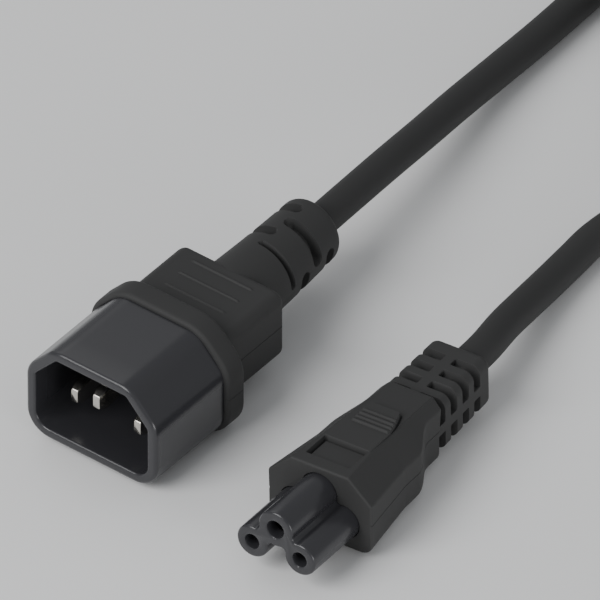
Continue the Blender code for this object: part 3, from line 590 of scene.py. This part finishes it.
def jacket_finish(name, colour):
    """Extruded jacket: satin, with faint streaks along the cord and fine pores."""
    made = Finish(name)
    streaks = made.grain(made.drawn_out(made.map, (0.02, 1.0, 1.0)), 160.0)
    pores = made.grain(made.place, 2600.0)
    clouds = made.grain(made.place, 60.0)
    made.link("Base Color", made.tint(colour, clouds, 0.08))
    made.link("Roughness", made.between(streaks, 0.34, 0.52))
    made.bump((streaks, 0.3, 0.00003), (pores, 0.4, 0.00001))
    made.shader.inputs["IOR"].default_value = PLASTIC_IOR
    return made.material


def tape_finish(name, colour):
    """Hook-and-loop tape: a woven ground with a soft nap."""
    made = Finish(name)
    threads = {"links": [("Vector", made.map)], "Scale": TAPE_THREADS}
    warp = made.add("ShaderNodeTexWave", **threads)
    weft = made.add("ShaderNodeTexWave", **threads, bands_direction="Y")
    weave = made.product(warp.outputs["Fac"], weft.outputs["Fac"])
    nap = made.grain(made.place, 1800.0, 4.0)
    made.link("Base Color", made.tint(colour, nap, 0.35))
    made.link("Roughness", made.between(nap, 0.75, 0.98))
    made.bump((weave, 0.8, 0.00025), (nap, 0.7, 0.0001))
    made.shader.inputs["Sheen Weight"].default_value = 0.25
    return made.material


def floor_finish(name, colour):
    """A plain pale studio floor with a barely seen unevenness."""
    made = Finish(name)
    made.link("Base Color", made.tint(colour, made.grain(made.place, 3.0), 0.01))
    made.shader.inputs["Roughness"].default_value = 0.75
    return made.material


def finish_called(name, make, *values):
    """A finish that is made once and shared."""
    return bpy.data.materials.get(name) or make(name, *values)


def moulding():
    """The finish of the soft moulded bodies."""
    look = (bpy.context.scene.lead_colours.moulding, MOULDING_ROUGHNESS, 0.06, 1.0)
    return finish_called("moulded_pvc", moulded_finish, *look)


def hard_plastic():
    """The finish of the harder cup and nose."""
    look = (bpy.context.scene.lead_colours.hard_plastic, HARD_PLASTIC_ROUGHNESS, 0.05, 0.6)
    return finish_called("hard_plastic", moulded_finish, *look)


def roofed(width, bottom, flank, top, top_width):
    """Six corners of a box with its upper corners cut off, counterclockwise from lower left."""
    half, narrow = np.divide(width, 2), np.divide(top_width, 2)
    half, narrow, bottom, flank, top = np.broadcast_arrays(half, narrow, bottom, flank, top)
    x = np.stack([-half, half, half, narrow, -narrow, -half], axis=-1)
    z = np.stack([bottom, bottom, flank, top, top, flank], axis=-1)
    return np.stack([x, z], axis=-1)


def cavity_corners():
    """The corners of the cup's cavity."""
    low, high = PLUG_AXIS - CAVITY_HEIGHT / 2, PLUG_AXIS + CAVITY_HEIGHT / 2
    across, down = CAVITY_CHAMFER
    return roofed(CAVITY_WIDTH, low, high - down, high, CAVITY_WIDTH - 2 * across)


def cavity_outline(grow, sides):
    """The cup's outline this far outside its cavity; grow may be one value for each row."""
    grow = np.asarray(grow, float)[..., None]
    corners = shrunk(np.broadcast_to(cavity_corners(), (*grow.shape[:-1], 6, 2)), -grow)
    return rounded(corners, np.maximum(CAVITY_RADII + grow * SHROUD_SOFTNESS, 0.08), sides)


def press_seam(points, sides, seam, place, depth, rows=slice(None)):
    """The parting line: on each flank one column of the rings' points moves in by this depth."""
    right = 2 * ARC_STEPS + len(sides[0]) + int(np.argmin(np.abs(seam - place)))
    left = points.shape[1] - len(seam) + int(np.argmin(np.abs(seam - (1 - place))))
    points[rows, right, 0] -= depth
    points[rows, left, 0] += depth


def shroud_points():
    """The cup as one profile carried round its outline.

    The profile is a run of (distance along Y, growth beyond the cavity): back, outer wall, the
    two rounded rim edges, inner wall, floor fillet, and the floor drawn in to its middle.
    """
    rim_out, rim_out_depth = quarter_round(SHROUD_RIM_ROUNDS[0], 9)
    rim_in, rim_in_depth = quarter_round(SHROUD_RIM_ROUNDS[1], 6)
    fillet, fillet_depth = quarter_round(CAVITY_FLOOR_FILLET, 6)
    y = [SHROUD_REAR, COLLAR_FRONT, -8.0, -15.0], SHROUD_FRONT + rim_out[::-1]
    y = np.concatenate([*y, SHROUD_FRONT + rim_in, [-15.0, -9.0], CAVITY_FLOOR - fillet[::-1]])
    grow = [SHROUD_WALL] * 4, SHROUD_WALL - rim_out_depth[::-1]
    grow = np.concatenate([*grow, rim_in_depth, [0.0, -0.05], -0.1 - fillet_depth[::-1]])
    outline = cavity_outline(grow, [even_steps(24)] * 6)
    floor = outline[-1]
    middle = floor.mean(axis=0)
    drawn_in = middle + (floor - middle) * np.array([0.6, 0.25])[:, None, None]
    outline = np.concatenate([outline, drawn_in])
    y = np.concatenate([y, [CAVITY_FLOOR, CAVITY_FLOOR]])
    return rings(y, outline)


def pin_points(name):
    """A flat pin: a bar with rounded edges, drawn in near its tip by shares of the chamfer."""
    x = {"pin_line": -PIN_SPACING / 2, "pin_neutral": PIN_SPACING / 2, "pin_earth": 0.0}[name]
    z = PLUG_AXIS - PIN_EARTH_RISE / 2 + (PIN_EARTH_RISE if name == "pin_earth" else 0.0)
    tip = SHROUD_FRONT + PIN_TIPS[name]
    y = tip + np.array([*PIN_TIP_STEPS, PIN_REAR - tip])
    drawn = np.array(PIN_TIP_SHARES)[:, None]
    half = np.array(PIN_SIZE) / 2 - drawn * np.array(PIN_CHAMFER)
    signs = np.array([(-1, -1), (1, -1), (1, 1), (-1, 1)])
    outline = rounded(signs * half[:, None], PIN_EDGE, [even_steps(4)] * 4, 6)
    return rings(y, outline + np.array([x, z]))


def plug_moulding_points(sizes):
    """Collar and grip as one loft: pocket lip, collar, a concave fillet, grip and rounded rear.

    Each ring is an outline between the collar's and the grip's; the three ridges lift the top
    by a round-topped bar in Y, and the seam draws the flanks in along one line.
    """
    seam = seam_steps(20, PLUG_SEAM, SEAM_WIDTH)
    sides = [even_steps(24), seam, even_steps(6), even_steps(76), even_steps(6), seam]
    collar_corners = shrunk(cavity_corners(), -(SHROUD_WALL + COLLAR_RIM))
    top, narrow = PLUG_AXIS + GRIP_HEIGHT / 2, GRIP_WIDTH - 2 * GRIP_CHAMFER
    grip_corners = roofed(GRIP_WIDTH, top - GRIP_HEIGHT, top - GRIP_CHAMFER, top, narrow)
    pocket, play, overlap = COLLAR_POCKET
    lip = cavity_outline(np.array([SHROUD_WALL + play]), sides)[0]
    inside = cavity_outline(np.array([SHROUD_WALL - overlap]), sides)[0]

    def collar(depth):
        return rounded(shrunk(collar_corners, depth), COLLAR_RADII - depth, sides)

    def grip(depth):
        return rounded(shrunk(grip_corners, depth), np.maximum(GRIP_RADII - depth, 0.3), sides)

    run, depth = quarter_round(COLLAR_ROUND, 9)
    full, plain = collar(COLLAR_ROUND), grip(0.0)
    rows = [(COLLAR_FRONT + pocket, inside), (COLLAR_FRONT + pocket, lip)]
    rows += [(COLLAR_FRONT + 0.15, lip), (COLLAR_FRONT, lip + 0.3 * (full - lip))]
    rows += [(COLLAR_FRONT + a, collar(b)) for a, b in zip(run, depth)]
    rows += [(COLLAR_REAR - a, collar(b)) for a, b in zip(run[::-1], depth[::-1])]
    for turn in np.linspace(0.15, 1.0, 8):
        share = math.sin(turn * math.pi / 2)
        rise = COLLAR_FILLET * (1 - math.cos(turn * math.pi / 2))
        rows.append((COLLAR_REAR + rise, full + (plain - full) * share))
    start = COLLAR_REAR + COLLAR_FILLET + 0.1
    end, end_depth = quarter_round(GRIP_END_ROUND, 9)
    middle = np.arange(start, GRIP_REAR - GRIP_END_ROUND - LAST_ROW_GAP, GRIP_ROW_STEP)
    y = np.array([row[0] for row in rows])
    outline = np.stack([row[1] for row in rows])
    tail = np.stack([grip(b) for b in end_depth[::-1]])
    y = np.concatenate([y, middle, GRIP_REAR - end[::-1]])
    outline = np.concatenate([outline, np.broadcast_to(plain, (len(middle), *plain.shape)), tail])
    points = rings(y, outline)

    x, along, z = points[..., 0], points[..., 1], points[..., 2]
    on_top = (z > top - 0.02) & (along > start)
    lift = np.zeros_like(x)
    for number in range(RIDGE_COUNT):
        lift += crown(along, GRIP_REAR - RIDGE_FROM_REAR - number * RIDGE_PITCH, RIDGE_WIDTH)
    lift *= bar(x, 0.0, RIDGE_LENGTH, 0.5) * on_top
    points[..., 2] += lift * sizes.ridge_height / MM
    outer = along[:, 0] > COLLAR_FRONT + 0.1
    press_seam(points, sides, seam, PLUG_SEAM, sizes.seam_depth / MM, outer)
    # The second value marks the ridges for a painted highlight and a smoother finish.
    return points, np.clip(3 * lift, 0, 1)


def plug_relief_points():
    """The slotted cone: its radius falls evenly to the rounded end.

    A slot is a bar with round ends, as wide as the distance from its middle line allows; it draws
    the radius down to the core. The middle leans aside with the square of the distance.
    """
    length = RELIEF_REAR - GRIP_REAR
    end, end_depth = quarter_round(RELIEF_END_ROUND, 10)
    plain = np.arange(-RELIEF_SEAT, length - RELIEF_END_ROUND - LAST_ROW_GAP, GRIP_ROW_STEP)
    y = np.concatenate([plain, length - end[::-1]])
    depth = np.concatenate([np.zeros(len(y) - len(end)), end_depth[::-1]])
    share = np.clip(y / length, 0, 1)
    base, tip = RELIEF_DIAMETERS
    radius = (base + (tip - base) * share) / 2 - depth
    angle = np.linspace(0, 2 * math.pi, RELIEF_SIDES, endpoint=False)
    along, turn = np.meshgrid(y, np.degrees(angle), indexing="ij")
    cut = np.zeros_like(along)
    for number, width in enumerate(SLOT_WIDTHS):
        heading = SLOT_FIRST_ANGLE + 90.0 * number
        from_middle = np.abs((turn - heading + 90.0) % 180.0 - 90.0)
        reach = np.radians(from_middle) * base / 2
        past = np.clip(reach - np.radians(SLOT_ARC / 2) * base / 2 + width / 2, 0, None)
        off = np.hypot(along - SLOT_FIRST - number * SLOT_PITCH, past)
        cut = np.maximum(cut, bar(off, 0.0, width + 0.1, SLOT_EDGE))
    full = radius[:, None]
    reach = full - np.maximum(full - RELIEF_CORE / 2, 0) * cut
    x = reach * np.cos(angle) - RELIEF_LEAN * (np.clip(along, 0, None) / length) ** 2
    z = PLUG_AXIS + reach * np.sin(angle)
    return np.stack([x, GRIP_REAR + along, z], axis=-1)


def connector_corners(y):
    """The body's six corners at each distance behind its front face.

    The width tapers, then draws in on an S-curve at the waist; the top is level to the crease
    and falls behind it; the flanks' top edge rises with the waist's S-curve.
    """
    reach = np.clip((y - BODY_WAIST[0]) / (BODY_WAIST[1] - BODY_WAIST[0]), 0, 1)
    ease = reach * reach * (3 - 2 * reach)
    width = BODY_WIDTH - (BODY_WIDTH - BODY_WAIST_WIDTH) * np.minimum(y / BODY_TAPER_END, 1)
    width = width + (BODY_REAR_WIDTH - BODY_WAIST_WIDTH) * ease
    before = np.minimum(y / BODY_CREASE, 1)
    fall = np.maximum(y - BODY_CREASE, 0) / (BODY_LENGTH - BODY_CREASE)
    front, crease, rear = BODY_TOP_WIDTHS
    top_width = front + (crease - front) * before + (rear - crease) * fall
    top = BODY_TOP + (BODY_REAR_TOP - BODY_TOP) * fall
    bottom = BODY_FOOT + (BODY_REAR_FOOT - BODY_FOOT) * y / BODY_LENGTH
    flank = BODY_FLANKS[0] + (BODY_FLANKS[1] - BODY_FLANKS[0]) * ease
    return roofed(width, bottom, flank, top, top_width)


def connector_body_points(sizes):
    """The connector's body: its rings, with the panel, the thumb pad and the ribs on top.

    On the top face the height is the falling face, or the rising pad inside the pad's edge, which
    draws in with the square of the distance; a fine groove runs along the pad's foot. The panel
    is sunk, and deeper along two of its edges, the ribs are round-topped bars, and the rear face
    leans back towards the top.
    """
    seam = seam_steps(16, BODY_SEAM, SEAM_WIDTH)
    sides = [even_steps(26), seam, even_steps(14), even_steps(120), even_steps(14), seam]
    front, front_depth = quarter_round(BODY_END_ROUNDS[0], 6)
    rear, rear_depth = quarter_round(BODY_END_ROUNDS[1], 7)
    plain = np.arange(0.6, BODY_LENGTH - 1.0, BODY_ROW_STEP)
    y = np.concatenate([front, plain, BODY_LENGTH - rear[::-1]])
    depth = np.zeros(len(y))
    depth[: len(front)] = front_depth
    depth[-len(rear):] = rear_depth[::-1]
    corners = shrunk(connector_corners(y), depth[:, None])
    radii = np.maximum(BODY_RADII - depth[:, None], 0.1)
    points = rings(y, rounded(corners, radii, sides))

    top_first = 4 * ARC_STEPS + len(sides[0]) + len(sides[1]) + len(sides[2])
    face = slice(top_first, top_first + len(sides[3]))
    x, along, z = (points[:, face, i] for i in range(3))
    behind = np.clip((along - BODY_CREASE) / 0.2, 0, 1)
    edge = THUMB_WIDTH / 2 - THUMB_DRAW * np.clip(along - THUMB_DRAW_FROM, 0, None) ** 2
    inside = bar(x, 0.0, 2 * edge, THUMB_EDGE) * bar(along, BODY_CREASE, 2 * THUMB_REACH, 0.3)
    pad = BODY_TOP + THUMB_SLOPE * (along - BODY_CREASE)
    raised = np.maximum(pad - z, 0) * behind
    foot = bar(np.abs(x), edge + 0.22, THUMB_FOOT, 0.2)
    foot = foot * bar(along, BODY_CREASE, 2 * THUMB_REACH, 0.4)
    height = z + raised * inside - np.minimum(raised, THUMB_FOOT) * foot + CREASE_STEP * behind
    gap = bar(x, 0.3 - PANEL_WIDTH / 2, 0.4, 0.2) + bar(along, BODY_CREASE - 0.3, 0.4, 0.2)
    panel = bar(x, 0.0, PANEL_WIDTH, PANEL_EDGE)
    panel = panel * bar(along, BODY_CREASE - PANEL_LENGTH / 2, PANEL_LENGTH, PANEL_EDGE)
    height = height - panel * (1 + PANEL_GROOVE * np.clip(gap, 0, 1)) * sizes.panel_depth / MM
    lift = np.zeros_like(x)
    for number in range(RIB_COUNT):
        lift += crown(along, RIB_FIRST + number * RIB_PITCH, RIB_WIDTH)
    lift *= bar(x, RIB_MIDDLE, RIB_LENGTH, 0.3) * inside
    points[:, face, 2] = height + lift * sizes.rib_height / MM
    # This share marks the ribs for a painted highlight and a smoother finish.
    painted_highlight_and_gloss = np.zeros(points.shape[:2])
    painted_highlight_and_gloss[:, face] = np.clip(3 * lift, 0, 1)
    press_seam(points, sides, seam, BODY_SEAM, sizes.seam_depth / MM)
    lean = np.clip((points[..., 1:] - OVERHANG_FROM) / OVERHANG_RUN, 0, 1)
    points[..., 1] += REAR_OVERHANG * lean[..., 1] * lean[..., 0]
    return in_connector(points), painted_highlight_and_gloss


def plates_points():
    """The square-plated relief: a rounded square that drops to a square core in each corner space.

    The drop is a bar in Y times the two distances from the middles of the faces, so that four
    bridges stay. The whole is sheared upwards as the real one is bent.
    """
    length = FIRST_PLATE_SPACE + PLATE_COUNT * (PLATE_LENGTH + PLATE_SPACE) + END_PLATE_LENGTH
    end, end_depth = quarter_round(END_PLATE_ROUND, 8)
    plain = np.arange(-RELIEF_SEAT, length - END_PLATE_ROUND - LAST_ROW_GAP, PLATE_ROW_STEP)
    y = np.concatenate([plain, length - end[::-1]])
    depth = np.concatenate([np.zeros(len(y) - len(end)), end_depth[::-1]])[:, None]
    sides = [even_steps(58), even_steps(50)] * 2

    def square(width, height, radius, inset):
        half, tall = (width + 0 * y) / 2, (height + 0 * y) / 2
        signs = np.array([(-1, -1), (1, -1), (1, 1), (-1, 1)])
        corners = shrunk(signs * np.stack([half, tall], axis=-1)[:, None], inset)
        return rounded(corners, np.maximum(radius - inset, 0.2), sides, 14)

    share = np.clip(y / length, 0, 1)
    sizes = (a + (b - a) * share for a, b in zip(PLATE_FIRST_SIZE, PLATE_LAST_SIZE))
    outer = square(*sizes, PLATE_RADIUS, depth)
    core = square(CORE_SIZE, CORE_SIZE, CORE_RADIUS, 0 * depth)
    cut = np.zeros(len(y))
    start = 0.0
    for number in range(PLATE_COUNT + 1):
        width = PLATE_SPACE if number else FIRST_PLATE_SPACE
        cut = np.maximum(cut, bar(y, start + width / 2, width - 0.15, 0.4))
        start += width + PLATE_LENGTH
    off = np.clip((np.abs(outer) - BRIDGE_WIDTH / 2) / BRIDGE_EDGE + 0.5, 0, 1)
    mask = (cut[:, None] * off[..., 0] * off[..., 1])[..., None]
    points = rings(BODY_LENGTH + y, outer + (core - outer) * mask)
    for axis, first, last in zip((0, 2), *PLATE_OFFSETS):
        points[..., axis] += (first + (last - first) * share)[:, None]
    points[..., 2] += PLATE_TILT * np.clip(y, -2, None)[:, None]
    return in_connector(points)


def swept(centre, radius, start, end, count, onward):
    """Points of a circle from the direction of one place to that of another, onward = 1 or -1."""
    first = math.atan2(start[1] - centre[1], start[0] - centre[0])
    last = math.atan2(end[1] - centre[1], end[0] - centre[0])
    sweep = (last - first) * onward % (2 * math.pi) * onward
    turn = first + sweep * np.linspace(0, 1, count, endpoint=False)
    return centre + radius * np.stack([np.cos(turn), np.sin(turn)], axis=-1)


def clover_outline(grow):
    """Three circles whose meeting corners are filled by small hollow arcs, grown by this much.

    A hollow arc's centre lies at (radius + fillet) from both circles, so with a = distance along
    the line between their centres and h aside from it, a = ((r1+f)^2 - (r2+f)^2 + d^2) / 2d and
    h^2 = (r1+f)^2 - a^2. Growing adds to both radii and takes from the fillet.
    """
    lobe, small, _ = LOBES["contact_neutral"]
    top, large, _ = LOBES["contact_earth"]
    lobe, top = np.array(lobe), np.array(top)
    small, large, fillet = small + grow, large + grow, NOSE_FILLET - grow
    apart = np.linalg.norm(top - lobe)
    way = (top - lobe) / apart
    along = ((small + fillet) ** 2 - (large + fillet) ** 2 + apart**2) / (2 * apart)
    aside = math.sqrt((small + fillet) ** 2 - along**2) * np.array([way[1], -way[0]])
    outer, inner = lobe + along * way + aside, lobe + along * way - aside
    up = np.array([0.0, 1.0])
    right = np.concatenate(
        [
            swept(top, large, top - up, inner, 8, 1),
            swept(inner, fillet, top, lobe, 16, -1),
            swept(lobe, small, inner, outer, 110, 1),
            swept(outer, fillet, lobe, top, 16, -1),
            swept(top, large, outer, top + up, 50, 1),
            [top + large * up],
        ]
    )
    return np.concatenate([right, right[-2:0:-1] * np.array([-1.0, 1.0])])


def nose_points():
    """The nose: the clover outline carried back from its rounded front edge."""
    run, depth = quarter_round(NOSE_ROUND, 7)
    y = np.concatenate([-NOSE_LENGTH + run, [-9.0, -4.0, NOSE_SEAT]])
    depth = np.concatenate([depth, [0.0] * 3])
    return in_connector(rings(y, np.stack([clover_outline(-d) for d in depth])))


def socket_points(place, bore):
    """A bore with a flared mouth: a circle carried along Y with its own radius at each step."""
    y = -NOSE_LENGTH + np.array(SOCKET_STEPS)
    radius = bore + np.array(SOCKET_FLARE)
    turn = np.linspace(0, 2 * math.pi, 64, endpoint=False)
    circle = np.stack([np.cos(turn), np.sin(turn)], axis=-1)
    return in_connector(rings(y, np.array(place) + radius[:, None, None] * circle))


def cord_way(step):
    """The cord's middle line, at even distances.

    Control points: the plug's stretch, the coil, the connector's stretch. The coil's angle falls
    evenly; its radius shrinks evenly on the floor layer, stays while the cord climbs, and grows
    evenly on the upper layer. A Catmull-Rom curve passes through all points.
    """
    turns = np.arange(0, COIL_TURNS + 1e-6, 1 / 24)
    layer = (COIL_TURNS - COIL_RISE_TURNS) / 2
    outer, inner = COIL_RADII
    winding_in = np.clip(turns / layer, 0, 1)
    climbing = np.clip((turns - layer) / COIL_RISE_TURNS, 0, 1)
    winding_out = np.clip((turns - layer - COIL_RISE_TURNS) / layer, 0, 1)
    radius = outer + (inner - outer) * winding_in + (outer - inner) * winding_out
    radius = radius - COIL_DIP * np.sin(math.pi * climbing)
    angle = COIL_START - 2 * math.pi * turns
    low, high = COIL_HEIGHTS
    height = low + (high - low) * climbing * climbing * (3 - 2 * climbing)
    coil = np.stack(
        [COIL_CENTRE[0] + radius * np.cos(angle), COIL_CENTRE[1] + radius * np.sin(angle), height],
        axis=-1,
    )
    leaving = np.array([math.sin(angle[-1]), -math.cos(angle[-1])])
    end = coil[-1, :2]
    lead = [(*(end + leaving * reach), rise) for reach, rise in COIL_LEAD]
    tail = in_connector(np.array(CORD_LOCAL_ENDS))
    way = np.concatenate([PLUG_CORD_WAY, coil, lead, CONNECTOR_CORD_WAY, tail])
    way = np.concatenate([[2 * way[0] - way[1]], way, [2 * way[-1] - way[-2]]])
    p0, p1, p2, p3 = (way[i : len(way) - 3 + i][:, None] for i in range(4))
    t = (np.arange(16) / 16)[None, :, None]
    curve = 0.5 * (
        2 * p1
        + (p2 - p0) * t
        + (2 * p0 - 5 * p1 + 4 * p2 - p3) * t**2
        + (3 * p1 - p0 - 3 * p2 + p3) * t**3
    )
    dense = np.concatenate([curve.reshape(-1, 3), way[-2:-1]])
    distance = np.concatenate([[0.0], np.cumsum(np.linalg.norm(np.diff(dense, axis=0), axis=1))])
    even = np.linspace(0, distance[-1], int(distance[-1] / step))
    return np.stack([np.interp(even, distance, dense[:, i]) for i in range(3)], axis=-1)


def cord_points(way, diameter, sides):
    """A circle carried along the way, square to it: side is way x up, and lift is side x way."""
    ahead = unit(np.gradient(way, axis=0))
    side = unit(np.cross(ahead, [0.0, 0.0, 1.0]))
    lift = np.cross(side, ahead)
    turn = np.linspace(0, 2 * math.pi, sides, endpoint=False)[:, None]
    ring = np.cos(turn) * side[:, None, :] + np.sin(turn) * lift[:, None, :]
    return way[:, None, :] + diameter / 2 * ring


def tie_points(angle):
    """A strap: a flat rounded section carried round a rounded box that holds the coil's turns."""
    near, far = TIE_SPAN
    low, high = TIE_HEIGHTS
    corners = np.array([(near, low), (far, low), (far, high), (near, high)])
    loop = rounded(corners, TIE_CORNER, [even_steps(44), even_steps(20)] * 2, 14)
    ahead = unit(np.roll(loop, -1, axis=0) - np.roll(loop, 1, axis=0))
    out = np.stack([ahead[:, 1], -ahead[:, 0]], axis=-1)
    turn = np.linspace(0, 2 * math.pi, 36, endpoint=False)
    across = TIE_WIDTH / 2 * np.sign(np.cos(turn)) * np.abs(np.cos(turn)) ** 0.35
    thick = TIE_THICKNESS / 2 * (1 + np.sign(np.sin(turn)) * np.abs(np.sin(turn)) ** 0.7)
    place = loop[:, None, :] + thick[None, :, None] * out[:, None, :]
    heading = math.radians(angle)
    outward = np.array([math.cos(heading), math.sin(heading), 0.0])
    sideways = np.array([-math.sin(heading), math.cos(heading), 0.0])
    points = place[..., :1] * outward + across[None, :, None] * sideways
    points = points + place[..., 1:] * np.array([0.0, 0.0, 1.0])
    return points + np.array([*COIL_CENTRE, 0.0])


class CORD_OT_stage(Operator):
    """Makes the camera, the pale floor and the soft studio light."""

    bl_idname = "power_cord.stage"
    bl_label = "Stage"

    def execute(self, context):
        scene = context.scene
        azimuth, elevation = math.radians(CAMERA_AZIMUTH), math.radians(CAMERA_ELEVATION)
        right = Vector((math.cos(azimuth), math.sin(azimuth), 0.0))
        onward = Vector((-math.sin(azimuth), math.cos(azimuth), 0.0))
        up = Vector((0.0, 0.0, 1.0))
        back = up * math.sin(elevation) - onward * math.cos(elevation)
        lens = bpy.data.cameras.new("camera")
        lens.sensor_width = 36.0
        lens.lens = lens.sensor_width * CAMERA_DISTANCE / VIEW_WIDTH
        lens.clip_start, lens.clip_end = 1.0, 60.0
        lens.dof.use_dof = False
        camera = bpy.data.objects.new("camera", lens)
        camera.location = Vector(LOOK_AT) + back * CAMERA_DISTANCE
        camera.rotation_euler = (-back).to_track_quat("-Z", "Y").to_euler()
        scene.collection.objects.link(camera)
        scene.camera = camera

        mesh = bpy.data.meshes.new("floor")
        around = [(-1, -1), (1, -1), (1, 1), (-1, 1)]
        corners = [(x * FLOOR_REACH, y * FLOOR_REACH, -FLOOR_DROP) for x, y in around]
        mesh.from_pydata(corners, [], [(0, 1, 2, 3)])
        mesh.materials.append(floor_finish("pale_floor", scene.lead_colours.floor))
        floor = bpy.data.objects.new("floor", mesh)
        scene.collection.objects.link(floor)

        for name, (place, size, power) in LAMPS.items():
            offset = right * place[0] + onward * place[1] + up * place[2]
            light = bpy.data.lights.new(name, "AREA")
            light.shape, light.size, light.energy = "DISK", size, power
            lamp = bpy.data.objects.new(name, light)
            lamp.location = Vector(LAMP_AIM) + offset
            lamp.rotation_euler = (-offset).to_track_quat("-Z", "Y").to_euler()
            scene.collection.objects.link(lamp)

        world = bpy.data.worlds.new("studio")
        world.use_nodes = True
        sky = world.node_tree.nodes["Background"]
        sky.inputs["Color"].default_value = SKY_COLOUR
        sky.inputs["Strength"].default_value = SKY_STRENGTH
        scene.world = world
        return {"FINISHED"}


class CORD_OT_cord(Operator):
    """Makes the jacketed cord: two free ends and the wound spare length."""

    bl_idname = "power_cord.cord"
    bl_label = "Cord"

    def execute(self, context):
        scene = context.scene
        sizes = scene.lead_sizes
        diameter = sizes.cord_diameter / MM
        way = cord_way(CORD_STEP)
        points = cord_points(way, diameter, sizes.cord_sides)
        length = float(np.linalg.norm(np.diff(way, axis=0), axis=1).sum())
        uv = grid_map(len(way), sizes.cord_sides, length, math.pi * diameter)
        cord = make_piece(
            "jacketed_cord",
            [shell(points)],
            finish_called("cord_jacket", jacket_finish, scene.lead_colours.jacket),
            "cord_jacket",
            ("cord_plug_side", "cord_coil", "cord_connector_side"),
            uv=uv,
        )
        return {"FINISHED"}


class CORD_OT_ties(Operator):
    """Makes the hook-and-loop straps that hold the coil."""

    bl_idname = "power_cord.ties"
    bl_label = "Ties"

    def execute(self, context):
        finish = finish_called("hook_and_loop_tape", tape_finish, context.scene.lead_colours.tape)
        for number, angle in enumerate(TIE_ANGLES, start=1):
            points = tie_points(angle)
            uv = grid_map(*points.shape[:2], TIE_LENGTH, 2 * TIE_WIDTH, closed_rows=True)
            skin = shell(points, closed=True)
            make_piece(f"tie_{number}", [skin], finish, "tie", (f"coil_tie_{number}",), uv=uv)
        return {"FINISHED"}


class CORD_OT_cup(Operator):
    """Makes the plug's hard cup."""

    bl_idname = "power_cord.cup"
    bl_label = "Plug cup"

    def execute(self, context):
        kind = (hard_plastic(), "hard_plastic", ("plug_shroud",))
        make_piece("plug_cup", [shell(shroud_points())], *kind)
        return {"FINISHED"}


class CORD_OT_pins(Operator):
    """Makes the three flat pins and plates the connector's contacts."""

    bl_idname = "power_cord.pins"
    bl_label = "Pins and contacts"

    def execute(self, context):
        finish = finish_called("nickel_plate", plated_finish, context.scene.lead_colours.plating)
        for name in PIN_TIPS:
            make_piece(f"flat_{name}", [shell(pin_points(name))], finish, "contact_metal", (name,))
        for name in LOBES:
            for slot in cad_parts[name].material_slots:
                slot.material = finish
        return {"FINISHED"}


class CORD_OT_plug_moulding(Operator):
    """Makes the plug's collar, ridged grip and slotted strain relief."""

    bl_idname = "power_cord.plug_moulding"
    bl_label = "Plug moulding"

    def execute(self, context):
        sizes = context.scene.lead_sizes
        points, painted_highlight_and_gloss = plug_moulding_points(sizes)
        kind = (moulding(), "moulded_pvc", ("plug_body",))
        make_piece("plug_grip", [shell(points)], *kind, painted_highlight_and_gloss=painted_highlight_and_gloss)
        make_piece("plug_relief", [shell(plug_relief_points())], *kind)
        return {"FINISHED"}


class CORD_OT_connector_moulding(Operator):
    """Makes the connector's body and its square-plated strain relief."""

    bl_idname = "power_cord.connector_moulding"
    bl_label = "Connector moulding"

    def execute(self, context):
        sizes = context.scene.lead_sizes
        points, painted_highlight_and_gloss = connector_body_points(sizes)
        kind = (moulding(), "moulded_pvc", ("connector_body",))
        body = make_piece("connector_housing", [shell(points)], *kind, painted_highlight_and_gloss=painted_highlight_and_gloss)
        deep, play = NOSE_POCKET
        pocket = rings(np.array([-1.0, deep]), np.stack([clover_outline(play)] * 2))
        cut_away(body, [make_piece("pocket", [shell(in_connector(pocket))], moulding(), "")])
        make_piece("connector_relief", [shell(plates_points())], *kind)
        return {"FINISHED"}


class CORD_OT_nose(Operator):
    """Makes the cloverleaf nose with its three sockets."""

    bl_idname = "power_cord.nose"
    bl_label = "Cloverleaf nose"

    def execute(self, context):
        kind = (hard_plastic(), "hard_plastic", ("connector_nose",))
        nose = make_piece("cloverleaf_nose", [shell(nose_points())], *kind)
        tools = [
            make_piece(f"{name}_bore", [shell(socket_points(place, bore))], hard_plastic(), "")
            for name, (place, _, bore) in LOBES.items()
        ]
        cut_away(nose, tools)
        return {"FINISHED"}


class CORD_PT_panel(Panel):
    """Lists the pieces of the lead and its sizes and colours."""

    bl_label = "Power Cord"
    bl_idname = "CORD_PT_panel"
    bl_space_type = "VIEW_3D"
    bl_region_type = "UI"
    bl_category = "Power Cord"

    def draw(self, context):
        column = self.layout.column()
        for step in STEPS:
            column.operator(step.bl_idname)
        for group in (context.scene.lead_sizes, context.scene.lead_colours):
            for name in group.bl_rna.properties.keys():
                if name not in ("rna_type", "name"):
                    column.prop(group, name)


STEPS = (
    CORD_OT_stage,
    CORD_OT_ties,
    CORD_OT_cord,
    CORD_OT_cup,
    CORD_OT_pins,
    CORD_OT_plug_moulding,
    CORD_OT_nose,
    CORD_OT_connector_moulding,
)
CLASSES = (LeadSizes, LeadColours, *STEPS, CORD_PT_panel)


def register():
    """Registers the classes and hangs the settings on the scene."""
    for made in CLASSES:
        bpy.utils.register_class(made)
    bpy.types.Scene.lead_sizes = PointerProperty(type=LeadSizes)
    bpy.types.Scene.lead_colours = PointerProperty(type=LeadColours)


def unregister():
    """Takes the settings and the classes away again."""
    del bpy.types.Scene.lead_colours
    del bpy.types.Scene.lead_sizes
    for made in reversed(CLASSES):
        bpy.utils.unregister_class(made)


def main():
    register()
    for step in STEPS:
        group, name = step.bl_idname.split(".")
        getattr(getattr(bpy.ops, group), name)()


if __name__ == "__main__":
    main()
